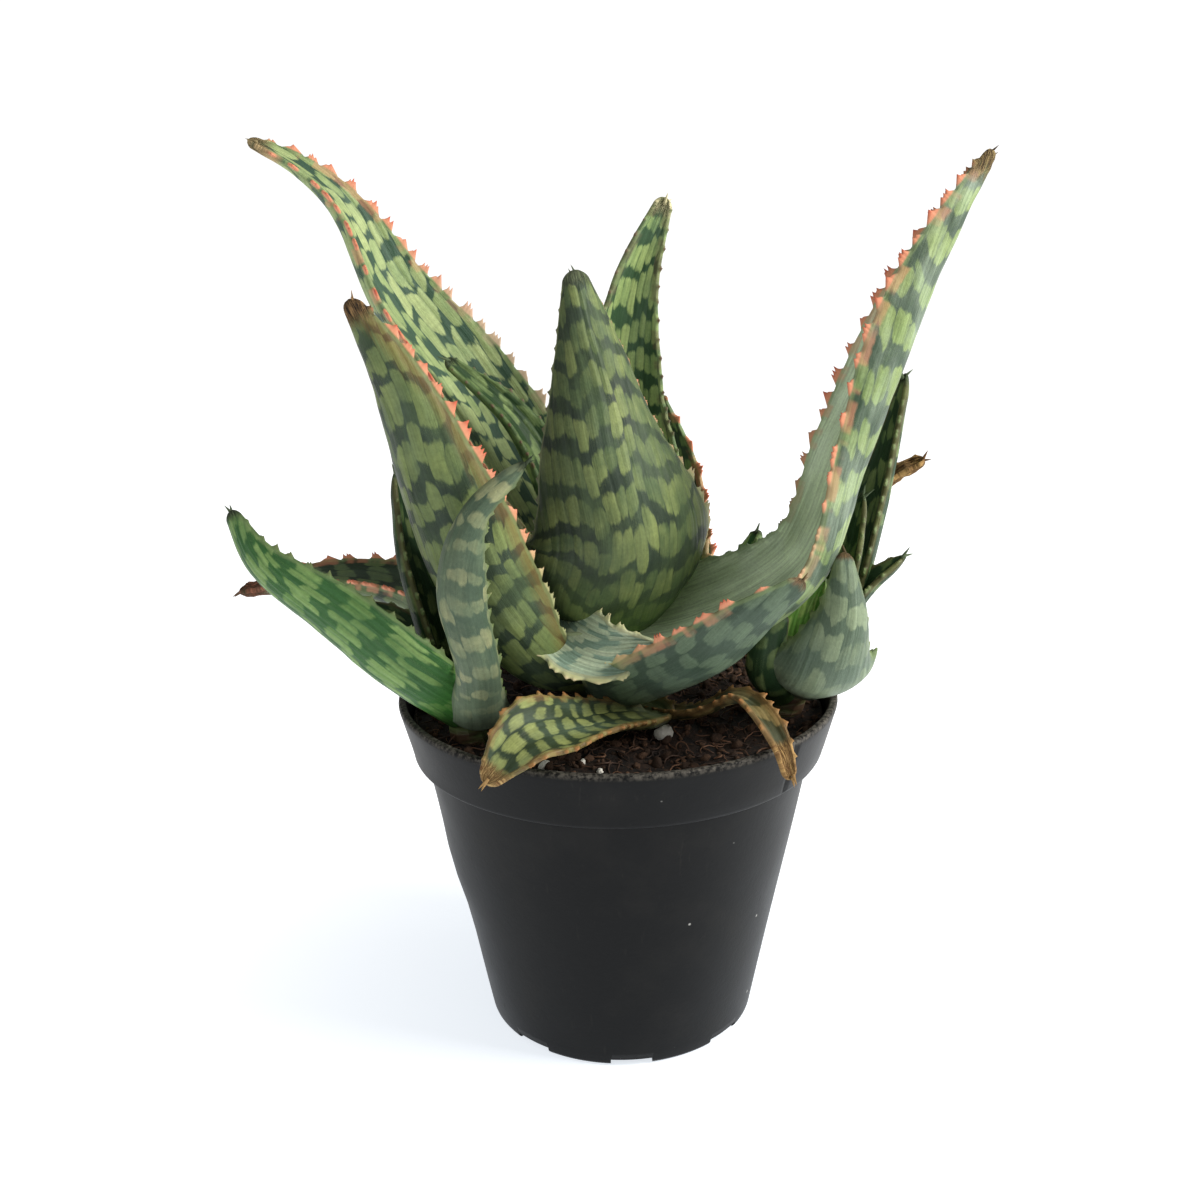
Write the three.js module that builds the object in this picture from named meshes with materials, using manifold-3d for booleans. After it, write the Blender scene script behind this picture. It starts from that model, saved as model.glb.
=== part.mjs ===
// A potted Mauna Kea aloe: a rosette of thick, channelled, toothed leaves with two
// offset plants beside it, rooted in soil in a plain black nursery pot.
// Millimetres, +Z up. The origin is the middle of the pot's flat base.
// The photograph looks along +Y, so -Y is the front and +X the right-hand side.

import * as THREE from 'three';
import Module from 'manifold-3d';
import { mergeVertices } from 'three/addons/utils/BufferGeometryUtils.js';

const wasm = await Module();
wasm.setup();

// Driving dimensions of the pot
const POT_HEIGHT = 84.5;
const RIM_RADIUS = 53;
const RIM_BAND_HEIGHT = 14;
const RIM_BAND_LOWER_RADIUS = 49.7;
const WALL_TOP_RADIUS = 46.9;
const BASE_RADIUS = 33.2;
const WALL = 1.3;
const FLOOR = 1.6;
const LIP = 1.1;
const POT_SIDES = 40;
const SLOT_COUNT = 8;
const SLOT_WIDTH = 10;
const SLOT_HEIGHT = 1.8;
const SLOT_INNER_RADIUS = 25;
const SLOT_TURN = THREE.MathUtils.degToRad(4);

// Driving dimensions of the soil and of the gaps between pieces
const SOIL_LEVEL = 78;
const SOIL_RELIEF = 1.3;
const SOIL_RINGS = 5;
const SOIL_SIDES = 26;
const GAP = 0.3;
const SMALLEST_EDGE = 0.06;

// Teeth lean towards the tip of the leaf by this share of their height
const TOOTH_LEAN = 0.5;
const TOOTHLESS_SHARE = 0.07;
const MARGIN_STEPS = 4;
const SEED = 417;
const STEM_SIDES = 9;
const ROOT_SIDES = 5;

// Colours, one for each kind of surface
const GREEN_MAIN = 0x6f8a5a;
const GREEN_GREY = 0x66806a;
const GREEN_BRIGHT = 0x55803f;
const GREEN_DARK = 0x3f5a3a;
const DRIED = 0x9c7b4d;
const STEM_COLOUR = 0x8a8f5c;
const SOIL_COLOUR = 0x2e211a;
const POT_COLOUR = 0x1c1d1f;

// Leaves, each with the points of its middle line from the stem to the tip, and then
// values spread evenly along it: the width across the blade laid flat, half the angle
// that the blade is rolled through, the way that its inner face looks, and thickness.
// The outer leaves come first, because each leaf is cut clear of the ones before it.
const LEAVES = [
  {
    name: 'leaf_low_left',
    path: [[-5, 10, 86], [-14, 11, 90], [-35, 14, 96.5], [-54, 16, 105], [-72, 14, 108.5], [-93, 10, 107]],
    width: [20, 27, 25, 19, 12, 2.4], curl: [60, 50, 42, 40],
    face: [[-0.3, -0.1, 1], [0, -0.1, 1], [0, -0.1, 1]],
    thick: [4.5, 5, 4, 1.8], rows: 9, columns: 6, tooth: 2.4, colour: GREEN_DARK,
  },
  {
    name: 'leaf_low_back',
    path: [[2, 14, 85], [8, 26, 90], [14, 44, 98], [17, 60, 110], [17, 68, 124]],
    width: [22, 29, 26, 16, 2.4], curl: [60, 52, 50, 45],
    face: [[0, -0.2, 1], [0, -0.5, 0.9], [0, -1, 0.4]],
    thick: [4.5, 5, 4, 1.8], rows: 7, columns: 6, tooth: 2.2, colour: GREEN_MAIN,
  },
  {
    name: 'leaf_low_right',
    path: [[-1, -1, 86], [7, -21, 94], [21, -32, 104], [30, -38, 114], [36, -40, 120], [39, -40, 123]],
    width: [20, 23, 28, 28, 19, 5], curl: [62, 54, 52],
    face: [[-0.3, 0.2, 0.9], [-0.5, 0.5, 0.7], [-0.4, 0.5, 0.7]],
    thick: [5, 5, 4, 2], rows: 7, columns: 6, tooth: 2.4, colour: GREEN_GREY,
  },
  {
    name: 'leaf_right_behind',
    path: [[6, 6, 87], [17, 10, 93], [27, 16, 102], [36, 24, 117]],
    width: [10, 13, 10, 2.4], curl: [55, 50],
    face: [[-0.4, -0.2, 0.8], [-0.7, -0.3, 0.5]],
    thick: [3, 3, 1.6], rows: 4, columns: 4, tooth: 1.8, colour: GREEN_BRIGHT,
  },
  {
    name: 'leaf_back_wide',
    path: [[1, 15, 89], [6, 27, 95], [10.5, 36, 105], [12.5, 41, 124], [10.5, 45, 149]],
    width: [24, 29, 27, 18, 3], curl: [62, 56, 50, 45],
    face: [[0, -0.8, 0.8], [0, -1, 0.5], [0, -1, 0.2]],
    thick: [5, 5, 4, 2], rows: 8, columns: 6, tooth: 2.6, colour: GREEN_MAIN,
  },
  {
    name: 'leaf_front_left',
    path: [[-8, -3, 88], [-20, -19, 99], [-31.5, -26, 118], [-38, -30, 139], [-45, -32, 163], [-53.5, -30, 181]],
    width: [12, 18, 29, 31, 24, 14, 2.6], curl: [66, 64, 50, 45],
    face: [[0.4, 0.6, 0.6], [0.6, 0.8, 0.2], [0.6, 0.8, 0.1]],
    thick: [5, 5.5, 4.5, 2], rows: 11, columns: 6, tooth: 2.6, colour: GREEN_MAIN,
  },
  {
    name: 'leaf_upper_left',
    path: [[-4, 11, 95], [-21, 20, 125], [-39, 28, 155], [-54, 32, 175], [-65, 32, 197], [-74, 31, 206], [-86, 30, 213]],
    width: [30, 40, 36, 30, 22, 10, 2], curl: [76, 60, 50, 50, 50, 40],
    face: [[0.6, -0.45, 0.6], [0.7, -0.5, 0.4], [0.72, -0.36, 0.55]],
    thick: [5, 5, 4, 1.8], rows: 13, columns: 6, tooth: 2.8, colour: GREEN_MAIN,
  },
  {
    name: 'leaf_long_right',
    path: [[-9, -8, 98], [18, -14, 104], [41, -18, 119], [51, -18, 145], [60, -14, 166], [69, -10, 186], [81, -6, 208]],
    width: [28, 36, 29, 21, 24, 25, 15, 2.4], curl: [66, 50, 60, 75, 75],
    face: [[-0.1, 0, 1], [-0.8, -0.3, 0.7], [-0.95, 0.08, 0.3], [-0.92, 0.16, 0.35]],
    thick: [5, 5, 4, 1.8], rows: 13, columns: 6, tooth: 2.8, colour: GREEN_GREY,
  },
  {
    name: 'leaf_back_upright',
    path: [[2, 11, 97], [6, 20, 126], [2, 24, 151], [5, 26, 177], [13, 28, 198]],
    width: [20, 24, 22, 19, 11, 2.6], curl: [68, 62, 58, 45],
    face: [[0.3, -1, 0.5], [0.2, -1, 0.1]],
    thick: [4, 3.6, 3, 1.8], rows: 9, columns: 6, tooth: 2.2, colour: GREEN_MAIN,
  },
  {
    name: 'leaf_centre',
    path: [[-2, 2, 99], [0, -15, 111], [3, -22, 127], [-1, -20, 147], [-5, -12, 167], [-8.5, -6, 184]],
    width: [24, 43, 48, 38, 26, 14.5, 3.4], curl: [70, 47, 46, 46],
    face: [[0, 0.6, 0.8], [-0.38, 1, 0.2], [-0.15, 1, 0]],
    thick: [5, 5.5, 4.5, 2.2], rows: 10, columns: 8, tooth: 2.4, colour: GREEN_MAIN,
  },
  {
    name: 'leaf_inner_left',
    path: [[-5, 8, 99], [-12, 12, 123], [-23, 16, 146], [-40, 18, 162]],
    width: [14, 17, 13, 8, 2], curl: [66, 60, 50],
    face: [[0.5, -0.5, 0.6], [0.6, -0.6, 0.5]],
    thick: [3.4, 3, 1.6], rows: 6, columns: 4, tooth: 1.6, colour: GREEN_DARK,
  },
  {
    name: 'leaf_short_front',
    path: [[-13, -5, 110], [-12, -19, 105], [-3, -28.5, 103], [9.5, -31, 105]],
    width: [4, 8, 16, 12, 2], curl: [42, 40],
    face: [[0, -0.7, 0.7], [0, -0.9, 0.5]],
    thick: [3.4, 3, 1.6], rows: 4, columns: 4, tooth: 1.8, colour: GREEN_GREY,
  },
  {
    name: 'leaf_over_rim',
    path: [[3, 2, 80], [9, -14, 83], [-3, -32, 89], [-11, -43, 92], [-19, -52, 93], [-27.5, -59, 86]],
    width: [8, 8, 9, 13, 15, 3], curl: [40, 40],
    face: [[0, -0.3, 1], [0, -0.5, 0.9], [-0.3, -0.9, 0.3]],
    thick: [3, 2.8, 2], rows: 7, columns: 4, tooth: 1.8, colour: GREEN_BRIGHT,
  },
  {
    name: 'leaf_dried',
    path: [[5, 2, 79], [17, -18, 85], [27, -27, 92], [31, -36, 92], [35, -44, 87], [37, -46, 80]],
    width: [5, 5, 6, 6, 5, 2], curl: [40, 40],
    face: [[0, -0.2, 1], [0.2, -0.3, 1], [0.4, -0.9, 0.2]],
    thick: [2.2, 2, 1.4], rows: 8, columns: 4, tooth: 1.4, colour: DRIED,
  },
  {
    name: 'left_pup_leaf_long',
    path: [[-36, -20, 86], [-50, -26, 99], [-62, -28, 111], [-78, -26, 124], [-84, -22, 135]],
    width: [13, 25, 25, 22, 15, 3.4], curl: [60, 60, 47],
    face: [[0.3, 0.5, 0.75], [0.35, 0.6, 0.7]],
    thick: [4, 4, 3.4, 2], rows: 8, columns: 6, tooth: 1.8, colour: GREEN_BRIGHT,
  },
  {
    name: 'left_pup_leaf_front',
    path: [[-32, -24, 86], [-30.5, -38, 104], [-33, -42, 122], [-29, -43, 138], [-18, -42, 149]],
    width: [16, 10, 10, 11, 5, 1.6], curl: [70, 60, 50],
    face: [[0, 0.8, 0.6], [0.3, 0.9, 0], [0.5, 0.8, 0]],
    thick: [3.2, 3, 1.6], rows: 8, columns: 4, tooth: 2.2, colour: GREEN_GREY,
  },
  {
    name: 'left_pup_leaf_upright',
    path: [[-37, -18, 88], [-42, -16, 105], [-47, -14, 123], [-49, -12, 141]],
    width: [10, 15, 12, 7, 2], curl: [55, 50],
    face: [[0.8, -0.3, 0.4], [0.8, -0.3, 0.2]],
    thick: [3.4, 3, 1.6], rows: 6, columns: 4, tooth: 1.8, colour: GREEN_DARK,
  },
  {
    name: 'left_pup_leaf_back',
    path: [[-38, -15, 88], [-44, -11, 97], [-50, -9, 104], [-58, -7, 109]],
    width: [8, 11, 9, 6, 2], curl: [50, 50],
    face: [[0.5, -0.3, 0.8], [0.3, -0.3, 0.8]],
    thick: [2.6, 2.4, 1.4], rows: 4, columns: 4, tooth: 1.6, colour: GREEN_DARK,
  },
  {
    name: 'right_pup_leaf_front',
    path: [[45, -9, 87], [47, -24, 96], [50, -27, 111], [50, -23, 124]],
    width: [13, 30, 20, 10, 2], curl: [66, 58, 50],
    face: [[0, 0.6, 0.8], [-0.1, 1, 0.2], [-0.2, 1, 0]],
    thick: [3.4, 3.4, 1.6], rows: 6, columns: 6, tooth: 1.8, colour: GREEN_GREY,
  },
  {
    name: 'right_pup_leaf_narrow',
    path: [[39, -7, 84], [34, -19, 96], [36, -22, 110]],
    width: [7, 9, 8, 4], curl: [60, 60],
    face: [[0, 0.6, 0.6], [0, 1, 0]],
    thick: [2.6, 2.4, 1.6], rows: 4, columns: 4, tooth: 1.4, colour: GREEN_DARK,
  },
  {
    name: 'right_pup_leaf_tall',
    path: [[46, 0, 88], [55, 2, 109], [62, 4, 134], [67, 4, 159]],
    width: [12, 17, 12, 6.4, 1.6], curl: [60, 55],
    face: [[-0.6, -0.5, 0.6], [-0.8, -0.5, 0]],
    thick: [3.4, 3.2, 1.6], rows: 7, columns: 4, tooth: 1.8, colour: GREEN_DARK,
  },
  {
    name: 'right_pup_leaf_outer',
    path: [[46, -4, 88], [53, -5, 103], [59, -6, 111.5], [67, -6, 118.5]],
    width: [9, 13, 8, 1.8], curl: [55, 50],
    face: [[-0.6, -0.2, 0.8], [-0.6, -0.2, 0.8]],
    thick: [3, 2.6, 1.6], rows: 4, columns: 4, tooth: 1.6, colour: GREEN_BRIGHT,
  },
  {
    name: 'right_pup_leaf_dry_tip',
    path: [[43, 1, 89], [54, 10, 113], [64, 12, 131], [74, 11, 137.5]],
    width: [8, 10, 8, 5.4, 3.4], curl: [50, 50],
    face: [[-0.6, -0.3, 0.6], [-0.4, -0.3, 0.9]],
    thick: [2.8, 2.4, 1.6], rows: 5, columns: 4, tooth: 1.6, colour: DRIED,
  },
  {
    name: 'right_pup_leaf_toothed',
    path: [[45, -3, 90], [51, -8, 112], [56, -9, 134]],
    width: [9, 13, 9, 2], curl: [55, 50],
    face: [[-0.5, -0.7, 0.4], [-0.6, -0.7, 0.2]],
    thick: [2.6, 2.4, 1.4], rows: 5, columns: 4, tooth: 1.8, colour: GREEN_BRIGHT,
  },
  {
    name: 'right_pup_leaf_inner',
    path: [[43, -5, 89], [42, -15, 101], [44, -15, 110], [47, -14, 116]],
    width: [9, 15, 14, 8, 2], curl: [50, 50],
    face: [[0.2, -0.7, 0.6], [0, -0.9, 0.3]],
    thick: [2.6, 2.4, 1.6], rows: 4, columns: 4, tooth: 1.4, colour: GREEN_BRIGHT,
  },
];

// Stems: a tapered trunk through hand-set points, and roots that spread from its foot
const STEMS = [
  {
    name: 'stem_main', path: [[1, 9, 34], [0, 8, 70], [0, 8, 103]], radius: [3, 8.5, 6],
    foot: [0.6, 8.6, 48], roots: 5, reach: 24, drop: 20, rootRadius: 2.2,
  },
  {
    name: 'stem_pup_left', path: [[-28, -14, 58], [-34, -17, 76], [-37, -19, 92]], radius: [2, 4.6, 3],
    foot: [-29.3, -14.7, 62], roots: 2, reach: 5, drop: 12, rootRadius: 1.4,
  },
  {
    name: 'stem_pup_right', path: [[33, -4, 58], [39, -4, 76], [45, -4, 93]], radius: [2, 4.6, 3],
    foot: [34.3, -4, 62], roots: 2, reach: 5, drop: 12, rootRadius: 1.4,
  },
];

// A small seeded generator, so that every run draws the same teeth and soil
function seededRandom(seed) {
  let state = seed;
  return () => {
    state = (state + 0x6d2b79f5) | 0;
    let t = Math.imul(state ^ (state >>> 15), 1 | state);
    t = (t + Math.imul(t ^ (t >>> 7), 61 | t)) ^ t;
    return ((t ^ (t >>> 14)) >>> 0) / 4294967296;
  };
}

// A smooth run through evenly spaced numbers, at a share t of its length
function smooth(values, t) {
  const last = values.length - 1;
  const place = Math.min(Math.max(t, 0), 1) * last;
  const index = Math.min(Math.floor(place), last - 1);
  const f = place - index;
  const at = (k) => {
    if (k < 0) return 2 * values[0] - values[1];
    if (k > last) return 2 * values[last] - values[last - 1];
    return values[k];
  };
  const [a, b, c, d] = [at(index - 1), at(index), at(index + 1), at(index + 2)];
  return 0.5 * (2 * b + (c - a) * f + (2 * a - 5 * b + 4 * c - d) * f * f + (3 * b - a - 3 * c + d) * f * f * f);
}

function vector(list) {
  return new THREE.Vector3(...list);
}

// A growing list of vertices and triangles
class Shell {
  constructor() {
    this.points = [];
    this.faces = [];
  }

  add(point) {
    this.points.push(point.x, point.y, point.z);
    return this.points.length / 3 - 1;
  }

  triangle(a, b, c) {
    this.faces.push(a, b, c);
  }

  quad(a, b, c, d) {
    this.faces.push(a, b, c, a, c, d);
  }

  solid() {
    const vertProperties = new Float32Array(this.points);
    const triVerts = new Uint32Array(this.faces);
    const made = new wasm.Manifold(new wasm.Mesh({ numProp: 3, vertProperties, triVerts }));
    if (made.volume() > 0) return made;
    for (let i = 0; i < triVerts.length; i += 3) {
      [triVerts[i + 1], triVerts[i + 2]] = [triVerts[i + 2], triVerts[i + 1]];
    }
    return new wasm.Manifold(new wasm.Mesh({ numProp: 3, vertProperties, triVerts }));
  }
}

// A closed three.js geometry as a solid
function solidFrom(geometry) {
  const bare = geometry.index ? geometry.toNonIndexed() : geometry.clone();
  bare.deleteAttribute('normal');
  bare.deleteAttribute('uv');
  const merged = mergeVertices(bare, 1e-4);
  const shell = new Shell();
  shell.points = Array.from(merged.attributes.position.array);
  const index = merged.index.array;
  for (let i = 0; i < index.length; i += 3) {
    const [a, b, c] = [index[i], index[i + 1], index[i + 2]];
    if (a !== b && b !== c && a !== c) shell.triangle(a, b, c);
  }
  return shell.solid();
}

function geometryFrom(solid) {
  const mesh = solid.getMesh();
  const geometry = new THREE.BufferGeometry();
  geometry.setAttribute('position', new THREE.BufferAttribute(mesh.vertProperties, 3));
  geometry.setIndex(new THREE.BufferAttribute(mesh.triVerts, 1));
  geometry.computeVertexNormals();
  return geometry;
}

// The blade of one leaf: a curved strip rolled about its middle line. Its inner face is
// the strip itself, its outer face stands off by the thickness, and grow swells it all.
class Blade {
  constructor(leaf, grow = 0) {
    this.leaf = leaf;
    this.grow = grow;
    this.curve = new THREE.CatmullRomCurve3(leaf.path.map(vector), false, 'centripetal');
    this.curve.arcLengthDivisions = 400;
    this.length = this.curve.getLength();
  }

  frame(t) {
    const { leaf } = this;
    const middle = this.curve.getPointAt(t);
    const along = this.curve.getTangentAt(t);
    const hint = vector([0, 1, 2].map((axis) => smooth(leaf.face.map((v) => v[axis]), t)));
    const inward = hint.addScaledVector(along, -hint.dot(along)).normalize();
    const across = new THREE.Vector3().crossVectors(along, inward);
    return { middle, along, inward, across };
  }

  // A point on the inner (0) or outer (1) face, u from -1 to 1 across the blade
  point(face, t, u) {
    const { leaf, grow } = this;
    const { middle, along, inward, across } = this.frame(t);
    if (t <= 0) middle.addScaledVector(along, -grow);
    if (t >= 1) middle.addScaledVector(along, grow);
    const half = Math.max(smooth(leaf.width, t), 1) / 2 + grow;
    const roll = THREE.MathUtils.degToRad(smooth(leaf.curl, t));
    const thickness = smooth(leaf.thick, t);
    const edge = Math.min(1.2, thickness);
    const radius = half / roll;
    const angle = u * roll;
    const depth = face ? -(edge + (thickness - edge) * (1 - u * u) + grow) : grow;
    return middle
      .addScaledVector(across, (radius - depth) * Math.sin(angle))
      .addScaledVector(inward, radius - (radius - depth) * Math.cos(angle));
  }

  // The share of the length at a margin step, with the foot of each tooth swollen too
  marginShare(k, steps) {
    if (k === 0 || k === steps) return k / steps;
    return k / steps + ((k % 2 ? -1 : 1) * this.grow) / this.length;
  }

  // The way that the margin on one side (-1 or 1) points
  outward(t, side) {
    const { inward, across } = this.frame(t);
    const roll = THREE.MathUtils.degToRad(smooth(this.leaf.curl, t));
    return across.multiplyScalar(side * Math.cos(roll)).addScaledVector(inward, Math.sin(roll));
  }

  solid(random) {
    const { leaf, grow } = this;
    const { rows, columns } = leaf;
    const shell = new Shell();
    const steps = rows * MARGIN_STEPS;
    const faces = [0, 1].map((face) => {
      const grid = [];
      for (let i = 0; i <= rows; i += 1) {
        const row = [];
        for (let j = 1; j < columns; j += 1) {
          row[j] = shell.add(this.point(face, i / rows, (2 * j) / columns - 1));
        }
        grid.push(row);
      }
      const edges = [-1, 1].map((side) => {
        const edge = [];
        for (let k = 0; k <= steps; k += 1) edge.push(shell.add(this.point(face, this.marginShare(k, steps), side)));
        return edge;
      });
      return { grid, edges };
    });
    const turn = (flip, a, b, c) => (flip ? shell.triangle(a, c, b) : shell.triangle(a, b, c));
    faces.forEach(({ grid, edges }, face) => {
      const flip = face === 1;
      for (let i = 0; i < rows; i += 1) {
        for (let j = 1; j < columns - 1; j += 1) {
          turn(flip, grid[i][j], grid[i][j + 1], grid[i + 1][j + 1]);
          turn(flip, grid[i][j], grid[i + 1][j + 1], grid[i + 1][j]);
        }
        // The margin has finer steps than the blade, so a fan joins them in each row
        [0, 1].forEach((side) => {
          const inner = side ? columns - 1 : 1;
          const [near, far] = [grid[i][inner], grid[i + 1][inner]];
          const edge = edges[side];
          const first = i * MARGIN_STEPS;
          const half = MARGIN_STEPS / 2;
          const mirrored = flip !== (side === 0);
          for (let k = 0; k < MARGIN_STEPS; k += 1) {
            const from = k < half ? near : far;
            turn(mirrored, from, edge[first + k], edge[first + k + 1]);
          }
          turn(mirrored, near, edge[first + half], far);
        });
      }
    });
    // Teeth rise from every second step of the margin as low pyramids
    [0, 1].forEach((side) => {
      const [inner, outer] = [faces[0].edges[side], faces[1].edges[side]];
      for (let k = 0; k < steps; k += 1) {
        const corners = [inner[k], inner[k + 1], outer[k + 1], outer[k]];
        if (side === 0) corners.reverse();
        const draw = random();
        const t = (k + 0.5) / steps;
        if (k % 2 === 1 && t < 0.97 && t > TOOTHLESS_SHARE) {
          const sign = side ? 1 : -1;
          const height = leaf.tooth * (0.75 + 0.5 * draw) * Math.min(1, 0.5 + 2 * t) + grow;
          const apex = this.point(0, t, sign).lerp(this.point(1, t, sign), 0.5)
            .addScaledVector(this.outward(t, sign), height)
            .addScaledVector(this.frame(t).along, height * TOOTH_LEAN);
          const top = shell.add(apex);
          for (let c = 0; c < 4; c += 1) shell.triangle(corners[(c + 1) % 4], corners[c], top);
        } else {
          shell.quad(corners[0], corners[3], corners[2], corners[1]);
        }
      }
    });
    // The two ends are closed between the inner and the outer face
    [0, rows].forEach((i) => {
      const k = i * MARGIN_STEPS;
      const rim = faces.map(({ grid, edges }) => [edges[0][k], ...grid[i].slice(1), edges[1][k]]);
      for (let j = 0; j < columns; j += 1) {
        const corners = [rim[0][j], rim[0][j + 1], rim[1][j + 1], rim[1][j]];
        if (i > 0) corners.reverse();
        shell.quad(corners[3], corners[2], corners[1], corners[0]);
      }
    });
    return shell.solid();
  }
}

// A round, tapered tube through points, closed to a small flat at both ends
function taperedTube(path, radii, sides, rings) {
  const curve = new THREE.CatmullRomCurve3(path.map(vector), false, 'centripetal');
  const shell = new Shell();
  const rows = [];
  for (let i = 0; i <= rings; i += 1) {
    const t = i / rings;
    const middle = curve.getPointAt(t);
    const along = curve.getTangentAt(t);
    const across = new THREE.Vector3().crossVectors(along, vector([0.31, 0.95, 0.05])).normalize();
    const other = new THREE.Vector3().crossVectors(along, across);
    const radius = smooth(radii, t);
    const row = [];
    for (let j = 0; j < sides; j += 1) {
      const angle = (2 * Math.PI * j) / sides;
      row.push(shell.add(middle.clone()
        .addScaledVector(across, radius * Math.cos(angle))
        .addScaledVector(other, radius * Math.sin(angle))));
    }
    rows.push(row);
  }
  for (let i = 0; i < rings; i += 1) {
    for (let j = 0; j < sides; j += 1) {
      const next = (j + 1) % sides;
      shell.quad(rows[i][j], rows[i][next], rows[i + 1][next], rows[i + 1][j]);
    }
  }
  for (let j = 1; j < sides - 1; j += 1) {
    shell.triangle(rows[0][0], rows[0][j + 1], rows[0][j]);
    shell.triangle(rows[rings][0], rows[rings][j], rows[rings][j + 1]);
  }
  return shell.solid();
}

// A stem with its roots; grow swells both
function stemSolid(stem, grow = 0) {
  const swell = (radii) => radii.map((r) => r + grow);
  let solid = taperedTube(stem.path, swell(stem.radius), STEM_SIDES, 3);
  for (let i = 0; i < stem.roots; i += 1) {
    const angle = (2 * Math.PI * (i + 0.35)) / stem.roots;
    const [x, y, z] = stem.foot;
    const reach = stem.reach * (0.8 + 0.2 * (i % 2));
    const point = (share, drop) => [
      x + Math.cos(angle) * reach * share, y + Math.sin(angle) * reach * share, z - drop * stem.drop,
    ];
    const path = [[x, y, z + 3], point(0.45, 0.15), point(0.8, 0.5), point(1, 1)];
    const radii = [stem.rootRadius, stem.rootRadius * 0.85, stem.rootRadius * 0.6, 0.6];
    solid = solid.add(taperedTube(path, swell(radii), ROOT_SIDES, 3));
  }
  return solid;
}

// The pot's inner wall at a height, from the floor to the rim
function potInnerRadius(z) {
  const shoulder = POT_HEIGHT - RIM_BAND_HEIGHT;
  if (z < shoulder + WALL) {
    return THREE.MathUtils.mapLinear(z, 0, shoulder, BASE_RADIUS, WALL_TOP_RADIUS) - WALL;
  }
  return THREE.MathUtils.mapLinear(z, shoulder, POT_HEIGHT, RIM_BAND_LOWER_RADIUS, RIM_RADIUS) - WALL;
}

// The pot: a tapered wall, an overhanging band at the rim and drainage slots at the foot
function potSolid() {
  const shoulder = POT_HEIGHT - RIM_BAND_HEIGHT;
  const inside = shoulder + WALL;
  const profile = [
    [0, 0], [BASE_RADIUS - 0.8, 0], [BASE_RADIUS, 0.8], [WALL_TOP_RADIUS, shoulder],
    [RIM_BAND_LOWER_RADIUS - 0.4, shoulder], [RIM_BAND_LOWER_RADIUS, shoulder + 0.6],
    [RIM_RADIUS, POT_HEIGHT - LIP], [RIM_RADIUS - 0.3, POT_HEIGHT], [RIM_RADIUS - WALL - 0.4, POT_HEIGHT],
    [potInnerRadius(POT_HEIGHT - LIP) - 0.5, POT_HEIGHT - LIP], [potInnerRadius(inside + 1), inside + 0.4],
    [potInnerRadius(inside - 0.1), inside], [potInnerRadius(FLOOR), FLOOR], [0, FLOOR],
  ].map(([r, z]) => new THREE.Vector2(r, z));
  const lathe = new THREE.LatheGeometry(profile, POT_SIDES);
  lathe.rotateX(Math.PI / 2);
  let pot = solidFrom(lathe);
  const depth = BASE_RADIUS + 4 - SLOT_INNER_RADIUS;
  for (let i = 0; i < SLOT_COUNT; i += 1) {
    const slot = new THREE.BoxGeometry(SLOT_WIDTH, depth, SLOT_HEIGHT * 2);
    slot.translate(0, -(SLOT_INNER_RADIUS + depth / 2), 0);
    slot.rotateZ(SLOT_TURN + (2 * Math.PI * i) / SLOT_COUNT);
    pot = pot.subtract(solidFrom(slot));
  }
  return pot;
}

// The soil fills the pot with a rough top that is a little higher at the wall
function soilSolid(random) {
  const shell = new Shell();
  const ring = (radius, height) => Array.from({ length: SOIL_SIDES }, (_, j) => {
    const angle = (2 * Math.PI * j) / SOIL_SIDES;
    return shell.add(new THREE.Vector3(radius * Math.cos(angle), radius * Math.sin(angle), height(angle)));
  });
  const clear = GAP + 0.4;
  const shoulder = POT_HEIGHT - RIM_BAND_HEIGHT;
  const shelf = shoulder + WALL + clear + 0.4;
  const rings = [
    ring(potInnerRadius(FLOOR) - clear, () => FLOOR + clear),
    ring(potInnerRadius(shoulder) - clear, () => shoulder),
    ring(potInnerRadius(shoulder) - clear, () => shelf),
    ring(potInnerRadius(shelf) - clear, () => shelf + GAP),
  ];
  const top = potInnerRadius(SOIL_LEVEL) - clear;
  for (let k = SOIL_RINGS; k > 0; k -= 1) {
    const share = k / SOIL_RINGS;
    const rise = k === SOIL_RINGS ? 0.2 : SOIL_RELIEF;
    rings.push(ring(top * share, () => SOIL_LEVEL + share * share * 1.2 + (random() - 0.5) * rise * 2));
  }
  for (let i = 0; i < rings.length - 1; i += 1) {
    for (let j = 0; j < SOIL_SIDES; j += 1) {
      const next = (j + 1) % SOIL_SIDES;
      shell.quad(rings[i][j], rings[i][next], rings[i + 1][next], rings[i + 1][j]);
    }
  }
  const foot = shell.add(new THREE.Vector3(0, 0, FLOOR + clear));
  const crown = shell.add(new THREE.Vector3(0, 0, SOIL_LEVEL));
  const last = rings[rings.length - 1];
  for (let j = 0; j < SOIL_SIDES; j += 1) {
    const next = (j + 1) % SOIL_SIDES;
    shell.triangle(foot, rings[0][next], rings[0][j]);
    shell.triangle(crown, last[j], last[next]);
  }
  return shell.solid();
}

// The largest body of a solid that a cut may have left in several
function largestBody(solid) {
  const bodies = solid.decompose();
  return bodies.reduce((best, body) => (body.volume() > best.volume() ? body : best), bodies[0]);
}

function touches(a, b) {
  const [p, q] = [a.boundingBox(), b.boundingBox()];
  return [0, 1, 2].every((axis) => p.min[axis] <= q.max[axis] && q.min[axis] <= p.max[axis]);
}

const plant = new THREE.Group();
const keepClear = [];

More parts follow.
